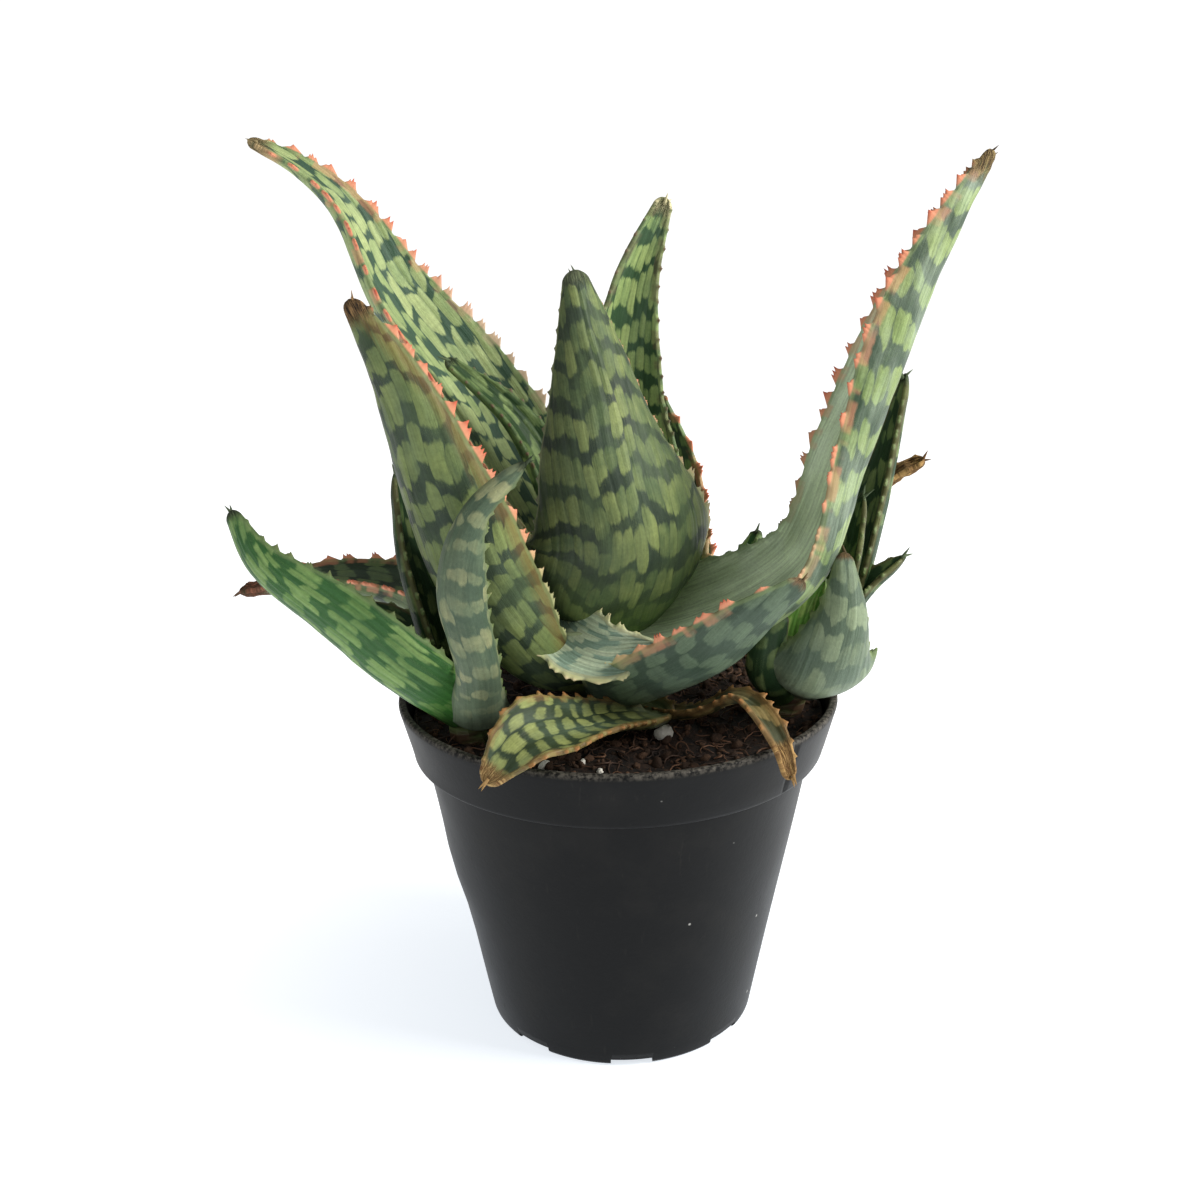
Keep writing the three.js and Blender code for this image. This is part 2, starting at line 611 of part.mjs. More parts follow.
// Cuts a solid clear of the ones before it, adds its mesh and keeps its swollen form
function addPiece(name, solid, swollen, colour, roughness) {
  let piece = solid;
  keepClear.forEach((other) => {
    if (touches(piece, other)) piece = piece.subtract(other);
  });
  piece = largestBody(piece.simplify(SMALLEST_EDGE));
  const material = new THREE.MeshStandardMaterial({ color: colour, roughness, metalness: 0 });
  const mesh = new THREE.Mesh(geometryFrom(piece), material);
  mesh.name = name;
  plant.add(mesh);
  if (swollen) keepClear.push(swollen);
}

addPiece('pot', potSolid(), null, POT_COLOUR, 0.45);
STEMS.forEach((stem) => addPiece(stem.name, stemSolid(stem), stemSolid(stem, GAP), STEM_COLOUR, 0.7));
LEAVES.forEach((leaf, index) => {
  const exact = new Blade(leaf).solid(seededRandom(SEED + index));
  const swollen = new Blade(leaf, GAP).solid(seededRandom(SEED + index));
  addPiece(leaf.name, exact, swollen, leaf.colour, 0.5);
});
addPiece('soil', soilSolid(seededRandom(SEED)), null, SOIL_COLOUR, 0.95);

export default plant;
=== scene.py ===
"""A potted Mauna Kea aloe, dressed over its fixed frame.

The frame holds the pot, the soil, the stems and one plain solid for each leaf. This script replaces
the leaves, the pot and the soil by finer pieces of the same form, and gives each its finish.
Lengths of the plant are written in millimetres and become metres when a mesh is made.
"""

from __future__ import annotations

import logging
import math
from dataclasses import dataclass, replace
from enum import Enum
from typing import Any, Iterable, Mapping, Sequence, Union

import bmesh
import bpy
import numpy as np
from mathutils import Matrix, Vector


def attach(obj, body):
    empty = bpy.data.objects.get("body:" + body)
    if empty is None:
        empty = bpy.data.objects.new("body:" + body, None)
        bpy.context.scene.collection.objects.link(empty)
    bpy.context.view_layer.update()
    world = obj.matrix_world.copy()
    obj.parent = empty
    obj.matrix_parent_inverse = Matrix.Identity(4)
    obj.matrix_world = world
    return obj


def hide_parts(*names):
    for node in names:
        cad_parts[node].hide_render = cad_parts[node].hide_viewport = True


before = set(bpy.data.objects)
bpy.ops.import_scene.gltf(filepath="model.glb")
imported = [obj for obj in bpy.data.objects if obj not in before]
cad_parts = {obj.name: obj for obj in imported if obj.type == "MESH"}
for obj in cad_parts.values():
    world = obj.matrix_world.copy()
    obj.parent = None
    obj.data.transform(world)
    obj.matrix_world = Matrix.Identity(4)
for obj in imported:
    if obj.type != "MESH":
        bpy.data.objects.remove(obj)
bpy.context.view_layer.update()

LOG = logging.getLogger("aloe")
BODY = "root"
MM = 0.001

Colour = tuple[float, float, float, float]
Array = np.ndarray


def rgb(red: int, green: int, blue: int) -> Colour:
    """Turns a colour as seen on a screen into the linear one that shaders take.

    Args:
        red: The red channel, 0 to 255.
        green: The green channel, 0 to 255.
        blue: The blue channel, 0 to 255.

    Returns:
        The linear colour with an alpha of 1.
    """
    parts = [c / 255 for c in (red, green, blue)]
    linear = [c / 12.92 if c <= 0.04045 else ((c + 0.055) / 1.055) ** 2.4 for c in parts]
    return (linear[0], linear[1], linear[2], 1.0)


class Wire:
    """A socket of a shader tree that takes part in Python expressions."""

    def __init__(self, graph: "Graph", socket: bpy.types.NodeSocket) -> None:
        """Keeps the socket and the graph that new nodes go into."""
        self.graph = graph
        self.socket = socket

    def math(self, operation: str, *others: "Value") -> "Wire":
        """Adds a Math node with this wire as its first input."""
        sockets = dict(enumerate((self, *others)))
        return self.graph.add("ShaderNodeMath", {"operation": operation}, sockets)

    def __add__(self, other: "Value") -> "Wire":
        """Adds a value."""
        return self.math("ADD", other)

    def __sub__(self, other: "Value") -> "Wire":
        """Takes a value away."""
        return self.math("SUBTRACT", other)

    def __rsub__(self, other: "Value") -> "Wire":
        """Is taken away from a value."""
        return self.graph.add("ShaderNodeMath", {"operation": "SUBTRACT"}, {0: other, 1: self})

    def __mul__(self, other: "Value") -> "Wire":
        """Multiplies by a value."""
        return self.math("MULTIPLY", other)

    def __truediv__(self, other: "Value") -> "Wire":
        """Divides by a value."""
        return self.math("DIVIDE", other)

    def __abs__(self) -> "Wire":
        """Drops the sign."""
        return self.math("ABSOLUTE")

    __radd__ = __add__
    __rmul__ = __mul__

    def floor(self) -> "Wire":
        """Gives the whole number below."""
        return self.math("FLOOR")

    def fract(self) -> "Wire":
        """Gives the part after the point."""
        return self.math("FRACT")

    def wave(self) -> "Wire":
        """Gives the cosine of an angle in radians."""
        return self.math("COSINE")

    def at_least(self, other: "Value") -> "Wire":
        """Gives the larger of two values."""
        return self.math("MAXIMUM", other)

    def at_most(self, other: "Value") -> "Wire":
        """Gives the smaller of two values."""
        return self.math("MINIMUM", other)

    def rise(self, low: "Value", high: "Value") -> "Wire":
        """Goes smoothly from 0 at the low value to 1 at the high one."""
        settings = {"interpolation_type": "SMOOTHSTEP"}
        return self.graph.add("ShaderNodeMapRange", settings, {0: self, 1: low, 2: high})


Value = Union[Wire, float]
Paint = Union[Wire, Colour]


class Graph:
    """The shader tree of one material, with a Principled shader at its end."""

    def __init__(self, name: str) -> None:
        """Makes an empty material with its shader and output."""
        self.material = bpy.data.materials.new(name)
        self.material.use_nodes = True
        self.tree = self.material.node_tree
        self.tree.nodes.clear()
        self.shader = self.tree.nodes.new("ShaderNodeBsdfPrincipled")
        end = self.tree.nodes.new("ShaderNodeOutputMaterial")
        self.tree.links.new(self.shader.outputs[0], end.inputs["Surface"])

    def add(
        self, kind: str, settings: Mapping[str, Any], sockets: Mapping[Any, Any], out: int = 0,
    ) -> Wire:
        """Adds a node of any kind.

        Args:
            kind: The node's type.
            settings: Its properties, which are set before its sockets.
            sockets: A value or a wire for each input, by name or by place.
            out: The place of the output that is wanted.

        Returns:
            The output as a wire.
        """
        node = self.tree.nodes.new(kind)
        for key, value in settings.items():
            setattr(node, key, value)
        for key, value in sockets.items():
            if isinstance(value, Wire):
                self.tree.links.new(value.socket, node.inputs[key])
            else:
                node.inputs[key].default_value = value
        return Wire(self, node.outputs[out])

    def vector(self, x: Value, y: Value, z: Value = 0.0) -> Wire:
        """Joins three values into a vector."""
        return self.add("ShaderNodeCombineXYZ", {}, {0: x, 1: y, 2: z})

    def attribute(self, name: str) -> tuple[Wire, Wire, Wire]:
        """Reads a vector attribute of the mesh.

        Args:
            name: The attribute's name.

        Returns:
            Its three parts.
        """
        read = self.add("ShaderNodeAttribute", {"attribute_name": name}, {}, out=1)
        parts = [self.add("ShaderNodeSeparateXYZ", {}, {0: read}, out=place) for place in range(3)]
        return parts[0], parts[1], parts[2]

    def place(self) -> Wire:
        """Gives the place on the object, in metres."""
        return self.add("ShaderNodeTexCoord", {}, {}, out=3)

    def noise(self, at: Wire, scale: float, detail: float = 2.0, roughness: float = 0.5) -> Wire:
        """Gives cloudy noise from 0 to 1 at a place."""
        sockets = {"Vector": at, "Scale": scale, "Detail": detail, "Roughness": roughness}
        return self.add("ShaderNodeTexNoise", {}, sockets)

    def skin_noise(
        self, x: Value, y: Value, z: Value, detail: float = 2.0, roughness: float = 0.5,
    ) -> Wire:
        """Gives cloudy noise from 0 to 1 on a skin, with clouds about 1 unit wide."""
        return self.noise(self.vector(x, y, z), 1.0, detail, roughness)

    def dice(self, at: Wire) -> Wire:
        """Gives an even random number from 0 to 1 for each place."""
        return self.add("ShaderNodeTexWhiteNoise", {"noise_dimensions": "3D"}, {"Vector": at})

    def mix(self, share: Value, first: Paint, second: Paint, blend: str = "MIX") -> Wire:
        """Mixes two colours, where a share of 1 gives the second."""
        settings = {"data_type": "RGBA", "blend_type": blend, "clamp_factor": True}
        return self.add("ShaderNodeMix", settings, {0: share, 6: first, 7: second}, out=2)

    def tint(self, colour: Paint, amount: Wire) -> Wire:
        """Scales a colour's brightness by a value."""
        grey = self.add("ShaderNodeCombineColor", {}, {0: amount, 1: amount, 2: amount})
        return self.mix(1.0, colour, grey, "MULTIPLY")

    def bump(self, height: Wire, distance: float, strength: float = 1.0) -> Wire:
        """Turns a height into a bent normal; distance is in metres."""
        sockets = {"Height": height, "Distance": distance, "Strength": strength}
        return self.add("ShaderNodeBump", {}, sockets)

    def finish(self, **sockets: Any) -> bpy.types.Material:
        """Sets or links the shader's sockets.

        Args:
            sockets: A value or wire for each socket, with _ for a space in its name.

        Returns:
            The finished material.
        """
        for key, value in sockets.items():
            socket = self.shader.inputs[key.replace("_", " ")]
            if isinstance(value, Wire):
                self.tree.links.new(value.socket, socket)
            else:
                socket.default_value = value
        return self.material


def place_object(name: str, data: bpy.types.ID) -> bpy.types.Object:
    """Makes an object and puts it in the scene.

    Args:
        name: The object's name.
        data: Its mesh, light or camera.

    Returns:
        The object.
    """
    made = bpy.data.objects.new(name, data)
    bpy.context.collection.objects.link(made)
    return made


class Mesher:
    """A growing list of points and faces that becomes one Blender object."""

    def __init__(self) -> None:
        """Starts with nothing."""
        self.points: list[Array] = []
        self.faces: list[tuple[int, ...]] = []
        self.count = 0
        self.values: dict[str, list[Array]] = {}

    def add(self, points: Array, faces: Iterable[Sequence[int]], **values: Array) -> None:
        """Adds a batch of points with its faces.

        Args:
            points: One row of x, y and z in millimetres for each point.
            faces: Corner places within this batch.
            values: A three-part attribute for each point, by name.
        """
        start = self.count
        self.points.append(points)
        self.faces.extend(tuple(start + corner for corner in face) for face in faces)
        self.count += len(points)
        for name, value in values.items():
            self.values.setdefault(name, []).append(value)

    def build(
        self, name: str, material: bpy.types.Material, slot: str, nodes: Sequence[str],
    ) -> bpy.types.Object:
        """Makes the object, ties it to the body and hides the frame's nodes that it replaces.

        Args:
            name: The object's name.
            material: Its finish.
            slot: Not used.
            nodes: The frame's nodes that it replaces.

        Returns:
            The new object.
        """
        mesh = bpy.data.meshes.new(name)
        places = np.concatenate(self.points) * MM
        mesh.from_pydata(places.tolist(), [], self.faces)
        for key, parts in self.values.items():
            kept = mesh.attributes.new(key, "FLOAT_VECTOR", "POINT")
            kept.data.foreach_set("vector", np.concatenate(parts).astype(np.float32).ravel())
        mesh.polygons.foreach_set("use_smooth", [True] * len(mesh.polygons))
        mesh.materials.append(material)
        mesh.update()
        piece = place_object(name, mesh)
        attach(piece, BODY)
        if nodes:
            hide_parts(*nodes)
        LOG.info("%s: %d faces", name, len(mesh.polygons))
        return piece


def ring_faces(rings: int, corners: int) -> list[tuple[int, ...]]:
    """Gives the faces between rings of points.

    Args:
        rings: The number of rings.
        corners: The number of points in a ring.

    Returns:
        The corner places of each face.
    """
    faces = []
    for i in range(rings - 1):
        for j in range(corners):
            k = (j + 1) % corners
            near, far = i * corners, (i + 1) * corners
            faces.append((near + j, near + k, far + k, far + j))
    return faces


def tube_faces(rings: int, corners: int) -> list[tuple[int, ...]]:
    """Gives the faces of a tube of rings that is closed at both ends.

    Args:
        rings: The number of rings.
        corners: The number of points in a ring.

    Returns:
        The corner places of each face.
    """
    last = (rings - 1) * corners
    caps = [tuple(range(corners))[::-1], tuple(last + j for j in range(corners))]
    return ring_faces(rings, corners) + caps


def tube_points(line: Array, side: Array, other: Array, thickness: Array, corners: int) -> Array:
    """Gives the points of a round tube.

    Args:
        line: The middle of each ring.
        side: A direction across the tube, for each ring or for all.
        other: The direction square to both.
        thickness: The radius of each ring.
        corners: The number of points in a ring.

    Returns:
        One row for each point.
    """
    angle = (np.arange(corners) * 2 * np.pi / corners)[:, None]
    ring = np.cos(angle) * side[:, None] + np.sin(angle) * other[:, None]
    return (line[:, None] + ring * thickness[:, None, None]).reshape(-1, 3)


def smooth_run(values: Sequence[Any], t: Array) -> Array:
    """Runs smoothly through evenly spaced values.

    Args:
        values: The numbers, or lists of numbers, to go through.
        t: Shares of the whole length, 0 to 1.

    Returns:
        The value at each share.
    """
    table = np.asarray(values, float)
    flat = table.ndim == 1
    table = table[:, None] if flat else table
    table = np.vstack([2 * table[0] - table[1], table, 2 * table[-1] - table[-2]])
    place = np.clip(t, 0, 1) * (len(table) - 3)
    index = np.minimum(place.astype(int), len(table) - 4)
    f = (place - index)[:, None]
    a, b, c, d = (table[index + k] for k in range(4))
    run = 0.5 * (2 * b + (c - a) * f + (2 * a - 5 * b + 4 * c - d) * f**2 + (3 * b - a - 3 * c + d) * f**3)
    return run[:, 0] if flat else run


def cloud(x: Array, y: Array, seed: int) -> Array:
    """Gives smooth random relief from -1 to 1 whose bumps are about 1 unit wide.

    Args:
        x: The first coordinate.
        y: The second coordinate.
        seed: Which relief to draw.

    Returns:
        The relief at each place.
    """
    size = 64
    table = np.random.default_rng(seed).uniform(-1, 1, (size, size))
    i, j = np.floor(x).astype(int), np.floor(y).astype(int)
    f, g = x - i, y - j
    f, g = f * f * (3 - 2 * f), g * g * (3 - 2 * g)
    low = table[i % size, j % size] * (1 - f) + table[(i + 1) % size, j % size] * f
    high = table[i % size, (j + 1) % size] * (1 - f) + table[(i + 1) % size, (j + 1) % size] * f
    return low * (1 - g) + high * g


def unit(vectors: Array) -> Array:
    """Scales each row of vectors to a length of 1."""
    return vectors / np.linalg.norm(vectors, axis=-1, keepdims=True)


def turn_from(angle: Array, degrees: float) -> Array:
    """Gives how far each angle is from a direction, -pi to pi."""
    return (angle - math.radians(degrees) + np.pi) % (2 * np.pi) - np.pi


@dataclass(frozen=True)
class CentreLine:
    """The middle line of a leaf: a smooth curve through a few points."""

    points: Sequence[Sequence[float]]
    steps: int = 80

    def sample(self, t: Array) -> tuple[Array, Array, float]:
        """Gives places and directions evenly along the line.

        Args:
            t: Shares of its length, 0 to 1.

        Returns:
            The places, the directions and the line's length.
        """
        knots = np.asarray(self.points, float)
        knots = np.vstack([2 * knots[0] - knots[1], knots, 2 * knots[-1] - knots[-2]])
        f = np.arange(self.steps)[:, None] / self.steps
        pieces = []
        for a, b, c, d in zip(knots, knots[1:], knots[2:], knots[3:]):
            da, db, dc = (np.linalg.norm(q - p) ** 0.5 for p, q in ((a, b), (b, c), (c, d)))
            start = ((b - a) / da - (c - a) / (da + db) + (c - b) / db) * db
            end = ((c - b) / db - (d - b) / (db + dc) + (d - c) / dc) * db
            bend, twist = 3 * (c - b) - 2 * start - end, 2 * (b - c) + start + end
            pieces.append(b + start * f + bend * f**2 + twist * f**3)
        line = np.vstack([*pieces, knots[-2]])
        run = np.r_[0, np.cumsum(np.linalg.norm(np.diff(line, axis=0), axis=1))]
        way = unit(np.gradient(line, axis=0))
        place = np.stack([np.interp(t * run[-1], run, line[:, k]) for k in range(3)], 1)
        along = unit(np.stack([np.interp(t * run[-1], run, way[:, k]) for k in range(3)], 1))
        return place, along, float(run[-1])


class Slot(Enum):
    """The record's slots for the leaves."""

    MAIN = "leaf_main"
    GREY = "leaf_grey"
    FRESH = "leaf_fresh"
    DRY = "leaf_dry"


@dataclass(frozen=True)
class Teeth:
    """The teeth of one margin: their sizes in millimetres and their colours.

    The heights are spread evenly from the foot of the leaf to its tip. The colours change from the
    low ones to the high ones about the share of the length that turn gives.
    """

    height: Sequence[float] = (1.6, 2.2, 2.2, 1.6)
    spacing: float = 5.2
    width: float = 3.6
    cusps: int = 3
    start: float = 0.08
    gum: Colour = rgb(224, 150, 116)
    cusp: Colour = rgb(208, 104, 78)
    gum_low: Colour = rgb(186, 190, 136)
    cusp_low: Colour = rgb(222, 206, 160)
    turn: float = 0.45

    LEAST = 0.15
    END_CLEAR = 1.2
    TAPER = 14.0
    TURN_REACH = 0.16

    def heights(self, s: Array, t: Array, rng: np.random.Generator) -> Array:
        """Gives how far the margin stands out at each place along it.

        Args:
            s: The distance along the leaf of each row.
            t: The share of the leaf's length of each row.
            rng: The source of random draws.

        Returns:
            The height at each row.
        """
        out = np.zeros_like(s)
        step = s[1] - s[0]
        tall = np.maximum(smooth_run(self.height, t), self.LEAST)
        at = s[-1] * self.start + rng.uniform(0, self.spacing)
        while at < s[-1] - self.END_CLEAR:
            ending = min(1.0, (s[-1] - at) / self.TAPER + 0.3)
            size = float(np.interp(at, s, tall)) * rng.uniform(0.7, 1.15) * ending
            width = self.width * rng.uniform(0.7, 1.2) * ending
            hump = np.clip(1 - np.abs(s - at) / (width * 0.6), 0, 1)
            profile = size * 0.46 * np.minimum(1, hump * 1.7)
            count = int(rng.integers(1, self.cusps + 1))
            for k in range(count):
                offset = (k + 0.5) / count - 0.5
                middle = round((at + width * 0.72 * offset) / step) * step
                point = size * (0.7 + 0.3 * rng.uniform()) * (1 - 0.35 * abs(offset))
                reach = max(step * 2, width * 0.44 / count**0.6)
                back = np.where(s < middle, 1.4, 0.75)
                spike = np.clip(1 - np.abs(s - middle) / (reach * back), 0, 1)
                profile = np.maximum(profile, point * spike)
            out = np.maximum(out, profile)
            at += self.spacing * rng.uniform(0.7, 1.3)
        return out

    def paint(self, g: Graph, t: Wire, tooth: Wire) -> Wire:
        """Gives the colour of the teeth.

        Args:
            g: The shader tree.
            t: The share of the leaf's length, with some noise.
            tooth: How far the place stands out from the margin.

        Returns:
            The colour.
        """
        high = t.rise(self.turn - self.TURN_REACH, self.turn + self.TURN_REACH)
        gum = g.mix(high, self.gum_low, self.gum)
        cusp = g.mix(high, self.cusp_low, self.cusp)
        return g.mix(tooth.rise(0.6, 1.8), gum, cusp)


@dataclass(frozen=True)
class LeafFinish:
    """How a leaf's skin looks: rows of pale spots in dark bands, a dried tip and a waxy bloom.

    Column and cell are the width of the spots and their spacing along the leaf, in millimetres. Gap is
    the dark share, uneven how much it varies, and jag how far the columns are out of step. Seams, slim
    and roundness shape the dark lines between columns and the ends of the spots. Motley and haze mix
    the seam colour into the spots and over the skin. Outer and inner say how strongly each face is
    spotted, and fade where along the leaf the spots begin. Painted_side_shade is painted shade that
    darkens the far side. Blush and stripe run the margin's colour and the stain into the skin.
    Dry_from is where the dried tip begins.
    """

    dark: Colour = rgb(52, 74, 56)
    light: Colour = rgb(150, 172, 106)
    seam: Colour = rgb(104, 128, 80)
    base: Colour = rgb(112, 140, 84)
    bloom: Colour = rgb(120, 144, 124)
    margin: Colour = rgb(128, 146, 98)
    column: float = 2.4
    cell: float = 9.0
    gap: float = 0.4
    uneven: float = 0.7
    jag: float = 0.4
    seams: float = 0.45
    slim: float = 0.7
    motley: float = 1.0
    haze: float = 0.0
    painted_side_shade: float = 0.0
    roundness: float = 0.4
    outer: float = 1.0
    inner: float = 1.0
    fade: tuple[float, float] = (0.0, 0.25)
    waxy: float = 0.3
    streak: float = 0.3
    blush: float = 0.0
    stripe: float = 0.0
    stain: Colour = rgb(132, 96, 52)
    dry: Colour = rgb(168, 136, 88)
    dry_dark: Colour = rgb(66, 50, 34)
    dry_from: float = 0.97
    dull: float = 0.46

    BUMP = 0.00024
    SPECULAR = 0.2

    def material(self, name: str, seed: int, near: Teeth, far: Teeth) -> bpy.types.Material:
        """Makes the finish.

        Args:
            name: The material's name.
            seed: Which random spots to draw.
            near: The teeth of the margin at negative places across.
            far: The teeth of the other margin.

        Returns:
            The material.
        """
        g = Graph(name)
        s, a, face = g.attribute("blade")
        edge, tooth, t = g.attribute("margin")
        fray = g.skin_noise(s * 0.8, a * 1.7, seed * 5.7, 3.0)
        hue = g.skin_noise(s * 0.06, a * 0.13, seed * 11.9, 3.0)
        lines = g.skin_noise(s * 0.06, a * 2.3, seed * 1.7, 4.0, 0.6)
        grain = g.skin_noise(s * 1.6, a * 2.2, seed * 4.1, 4.0, 0.65)
        skin, x = self.spots(g, (s, a, face, seed), fray)
        reach = t.rise(*self.fade) * (self.inner + face * (self.outer - self.inner))
        skin = g.mix(1 - reach, skin, g.mix(hue.rise(0.3, 0.7) * 0.5, self.base, self.seam))
        wax = g.skin_noise(s * 0.06, a * 0.16, seed * 2.3 + 4, 4.0).rise(0.35, 0.8)
        skin = g.mix(wax * self.waxy, skin, self.bloom)
        skin = g.tint(skin, 1 + (lines - 0.5) * (self.streak * 2.4) + (grain - 0.5) * 0.6)
        # Painted shade: the far side of the leaf is darkened as if it were turned away from the light.
        if self.painted_side_shade > 0:
            skin = g.tint(skin, 1 - (a + (hue - 0.5) * 14).rise(-3.0, 15.0) * self.painted_side_shade)
        noisy = t + (hue - 0.5) * 0.3
        teeth = g.mix(a.rise(-0.1, 0.1), near.paint(g, noisy, tooth), far.paint(g, noisy, tooth))
        if self.stripe > 0:
            ragged = edge + (lines - 0.5) * 3.0 + (hue - 0.5) * 3
            beside = (1 - ragged.rise(0.8, 3.4)) * (a * -4.0).rise(0.0, 1.0)
            skin = g.mix(beside * self.stripe, skin, self.stain)
        rim = 1 - (edge + (fray - 0.5) * 0.5).rise(0.1, 0.6)
        skin = g.mix(rim * 0.5, skin, self.margin)
        if self.blush > 0:
            side = a.rise(-0.1, 0.1) * 7.0
            length = g.skin_noise(s * 0.16, side, seed * 6.1, 2.0).rise(0.46, 0.54)
            beside = 1 - (edge + (fray - 0.5) * 0.8).rise(0.9, 1.5)
            skin = g.mix(beside * length * self.blush, skin, teeth)
        skin = g.mix(tooth.rise(0.1, 0.45), skin, teeth)
        end = t + (fray - 0.5) * 0.02 + (lines - 0.5) * 0.03
        dried = end.rise(self.dry_from - 0.02, self.dry_from + 0.012)
        fibres = g.skin_noise(s * 0.3, a * 2.6, seed, 4.0, 0.65).rise(0.38, 0.62)
        skin = g.mix(dried, skin, g.mix(fibres, self.dry_dark, self.dry))
        ribs = (x * (2 * math.pi)).wave() * -0.5
        relief = ribs * (1 - dried) * 0.55 + grain * 0.35 + lines * 0.5 + fibres * dried * 1.6
        rough = self.dull + (grain - 0.5) * 0.2 + dried * 0.3 + wax * 0.06
        normal = g.bump(relief, self.BUMP)
        return g.finish(
            Base_Color=skin, Roughness=rough, Normal=normal, Specular_IOR_Level=self.SPECULAR,
        )

    def spots(self, g: Graph, at: tuple[Wire, Wire, Wire, int], fray: Wire) -> tuple[Wire, Wire]:
        """Gives the bands of pale spots.

        Args:
            g: The shader tree.
            at: The places along and across, the face, and which spots to draw.
            fray: Fine noise for the edges of the spots.

        Returns:
            The colour, and the place across counted in columns.
        """
        s, a, face, seed = at
        warp = g.skin_noise(s * 0.05, a * 0.26, seed * 7.3)
        low = g.skin_noise(s * 0.03, a * 0.09, seed * 3.1 + face * 9.0)
        patch = g.skin_noise(s * 0.1, a * 0.22, seed * 8.9 + face * 5.0)
        x = a / self.column + (warp - 0.5) * 1.7 + 100.5 + face * 0.37
        column = x.floor()
        beside = abs(x.fract() - 0.5) * 2.0
        shift = g.dice(g.vector(column, seed + 0.5, face))
        phase = s / self.cell + (shift - 0.5) * self.jag + (low - 0.5) * 1.8 + 50.0
        draw = g.dice(g.vector(column, phase.floor(), seed + 0.25))
        share = (self.gap + (patch - 0.5) * self.uneven + (draw - 0.5) * 0.24).at_least(0.06)
        corner = beside * beside * beside
        rounding = corner * corner * (self.column * self.roundness)
        before = abs(phase.fract() - 0.5) * self.cell
        away = before + rounding - (1 - share) * (self.cell / 2) + (fray - 0.5) * 1.5
        zone = 1 - away.rise(-0.5, 0.5)
        broken = g.skin_noise(s * 0.3, a * 0.5, seed + 6.5, 2.0).rise(0.3, 0.62)
        line = (beside + (fray - 0.5) * 0.45).rise(self.slim, 1.05) * (broken * 0.75 + 0.25)
        beads = g.skin_noise(s * 1.1, column * 13.7, seed + 2.5, 3.0)
        cloudy = g.skin_noise(s * 0.16, a * 0.3, seed * 4.7 + face * 3.0, 3.0, 0.6)
        pale = g.mix((draw * 0.6 + cloudy * 1.5 - 0.72).at_least(0.0) * self.motley, self.light, self.seam)
        pale = g.tint(pale, 0.84 + beads * 0.32)
        veil = g.skin_noise(s * 0.07, a * 0.11, seed * 9.3, 4.0, 0.65).rise(0.38, 0.72) * self.haze
        return g.mix(veil, g.mix(zone * (1 - line * self.seams), self.dark, pale), self.seam), x


@dataclass(frozen=True)
class LeafRows:
    """What a leaf measures at each of its rows, from its foot to its tip."""

    share: Array
    run: Array
    middle: Array
    along: Array
    across: Array
    inward: Array
    half: Array
    roll: Array
    thick: Array

    EDGE = 1.2
    RIM_POINTS = 5
    RIM_ROUND = 0.28
    LEAN = 0.45

    def face(self, u: Array, relief: Array, outer: bool) -> Array:
        """Gives the points of one face.

        Args:
            u: The place across of each column, -1 to 1.
            relief: The relief on the face.
            outer: Whether it is the outer face.

        Returns:
            One point for each row and column.
        """
        edge = np.minimum(self.EDGE, self.thick)
        depth = relief
        if outer:
            depth = depth - (edge[:, None] + (self.thick - edge)[:, None] * (1 - u**2))
        radius = (self.half / self.roll)[:, None]
        angle = u[None, :] * self.roll[:, None]
        out = ((radius - depth) * np.sin(angle))[..., None]
        up = (radius - (radius - depth) * np.cos(angle))[..., None]
        return self.middle[:, None] + self.across[:, None] * out + self.inward[:, None] * up

    def rim(self, sign: float, height: Array, inner: Array, outer: Array) -> tuple[Array, Array]:
        """Gives the points of one margin, with its teeth.

        Args:
            sign: Which margin, 1 or -1 across.
            height: How far its teeth stand out at each row.
            inner: The edge of the inner face.
            outer: The edge of the outer face.

        Returns:
            The points of each row, and how far each stands out as a tooth.
        """
        w = np.arange(1, self.RIM_POINTS + 1) / (self.RIM_POINTS + 1)
        bow = np.sin(np.pi * w)
        sideways = sign * self.across * np.cos(self.roll)[:, None]
        outward = sideways + self.inward * np.sin(self.roll)[:, None]
        stand = height[:, None] * bow**0.75 + self.RIM_ROUND * np.minimum(self.half, 1)[:, None] * bow
        base = inner[:, None] * (1 - w)[None, :, None] + outer[:, None] * w[None, :, None]
        tooth = height[:, None] * bow
        lean = self.along[:, None] * (tooth * self.LEAN)[..., None]
        return base + outward[:, None] * stand[..., None] + lean, tooth


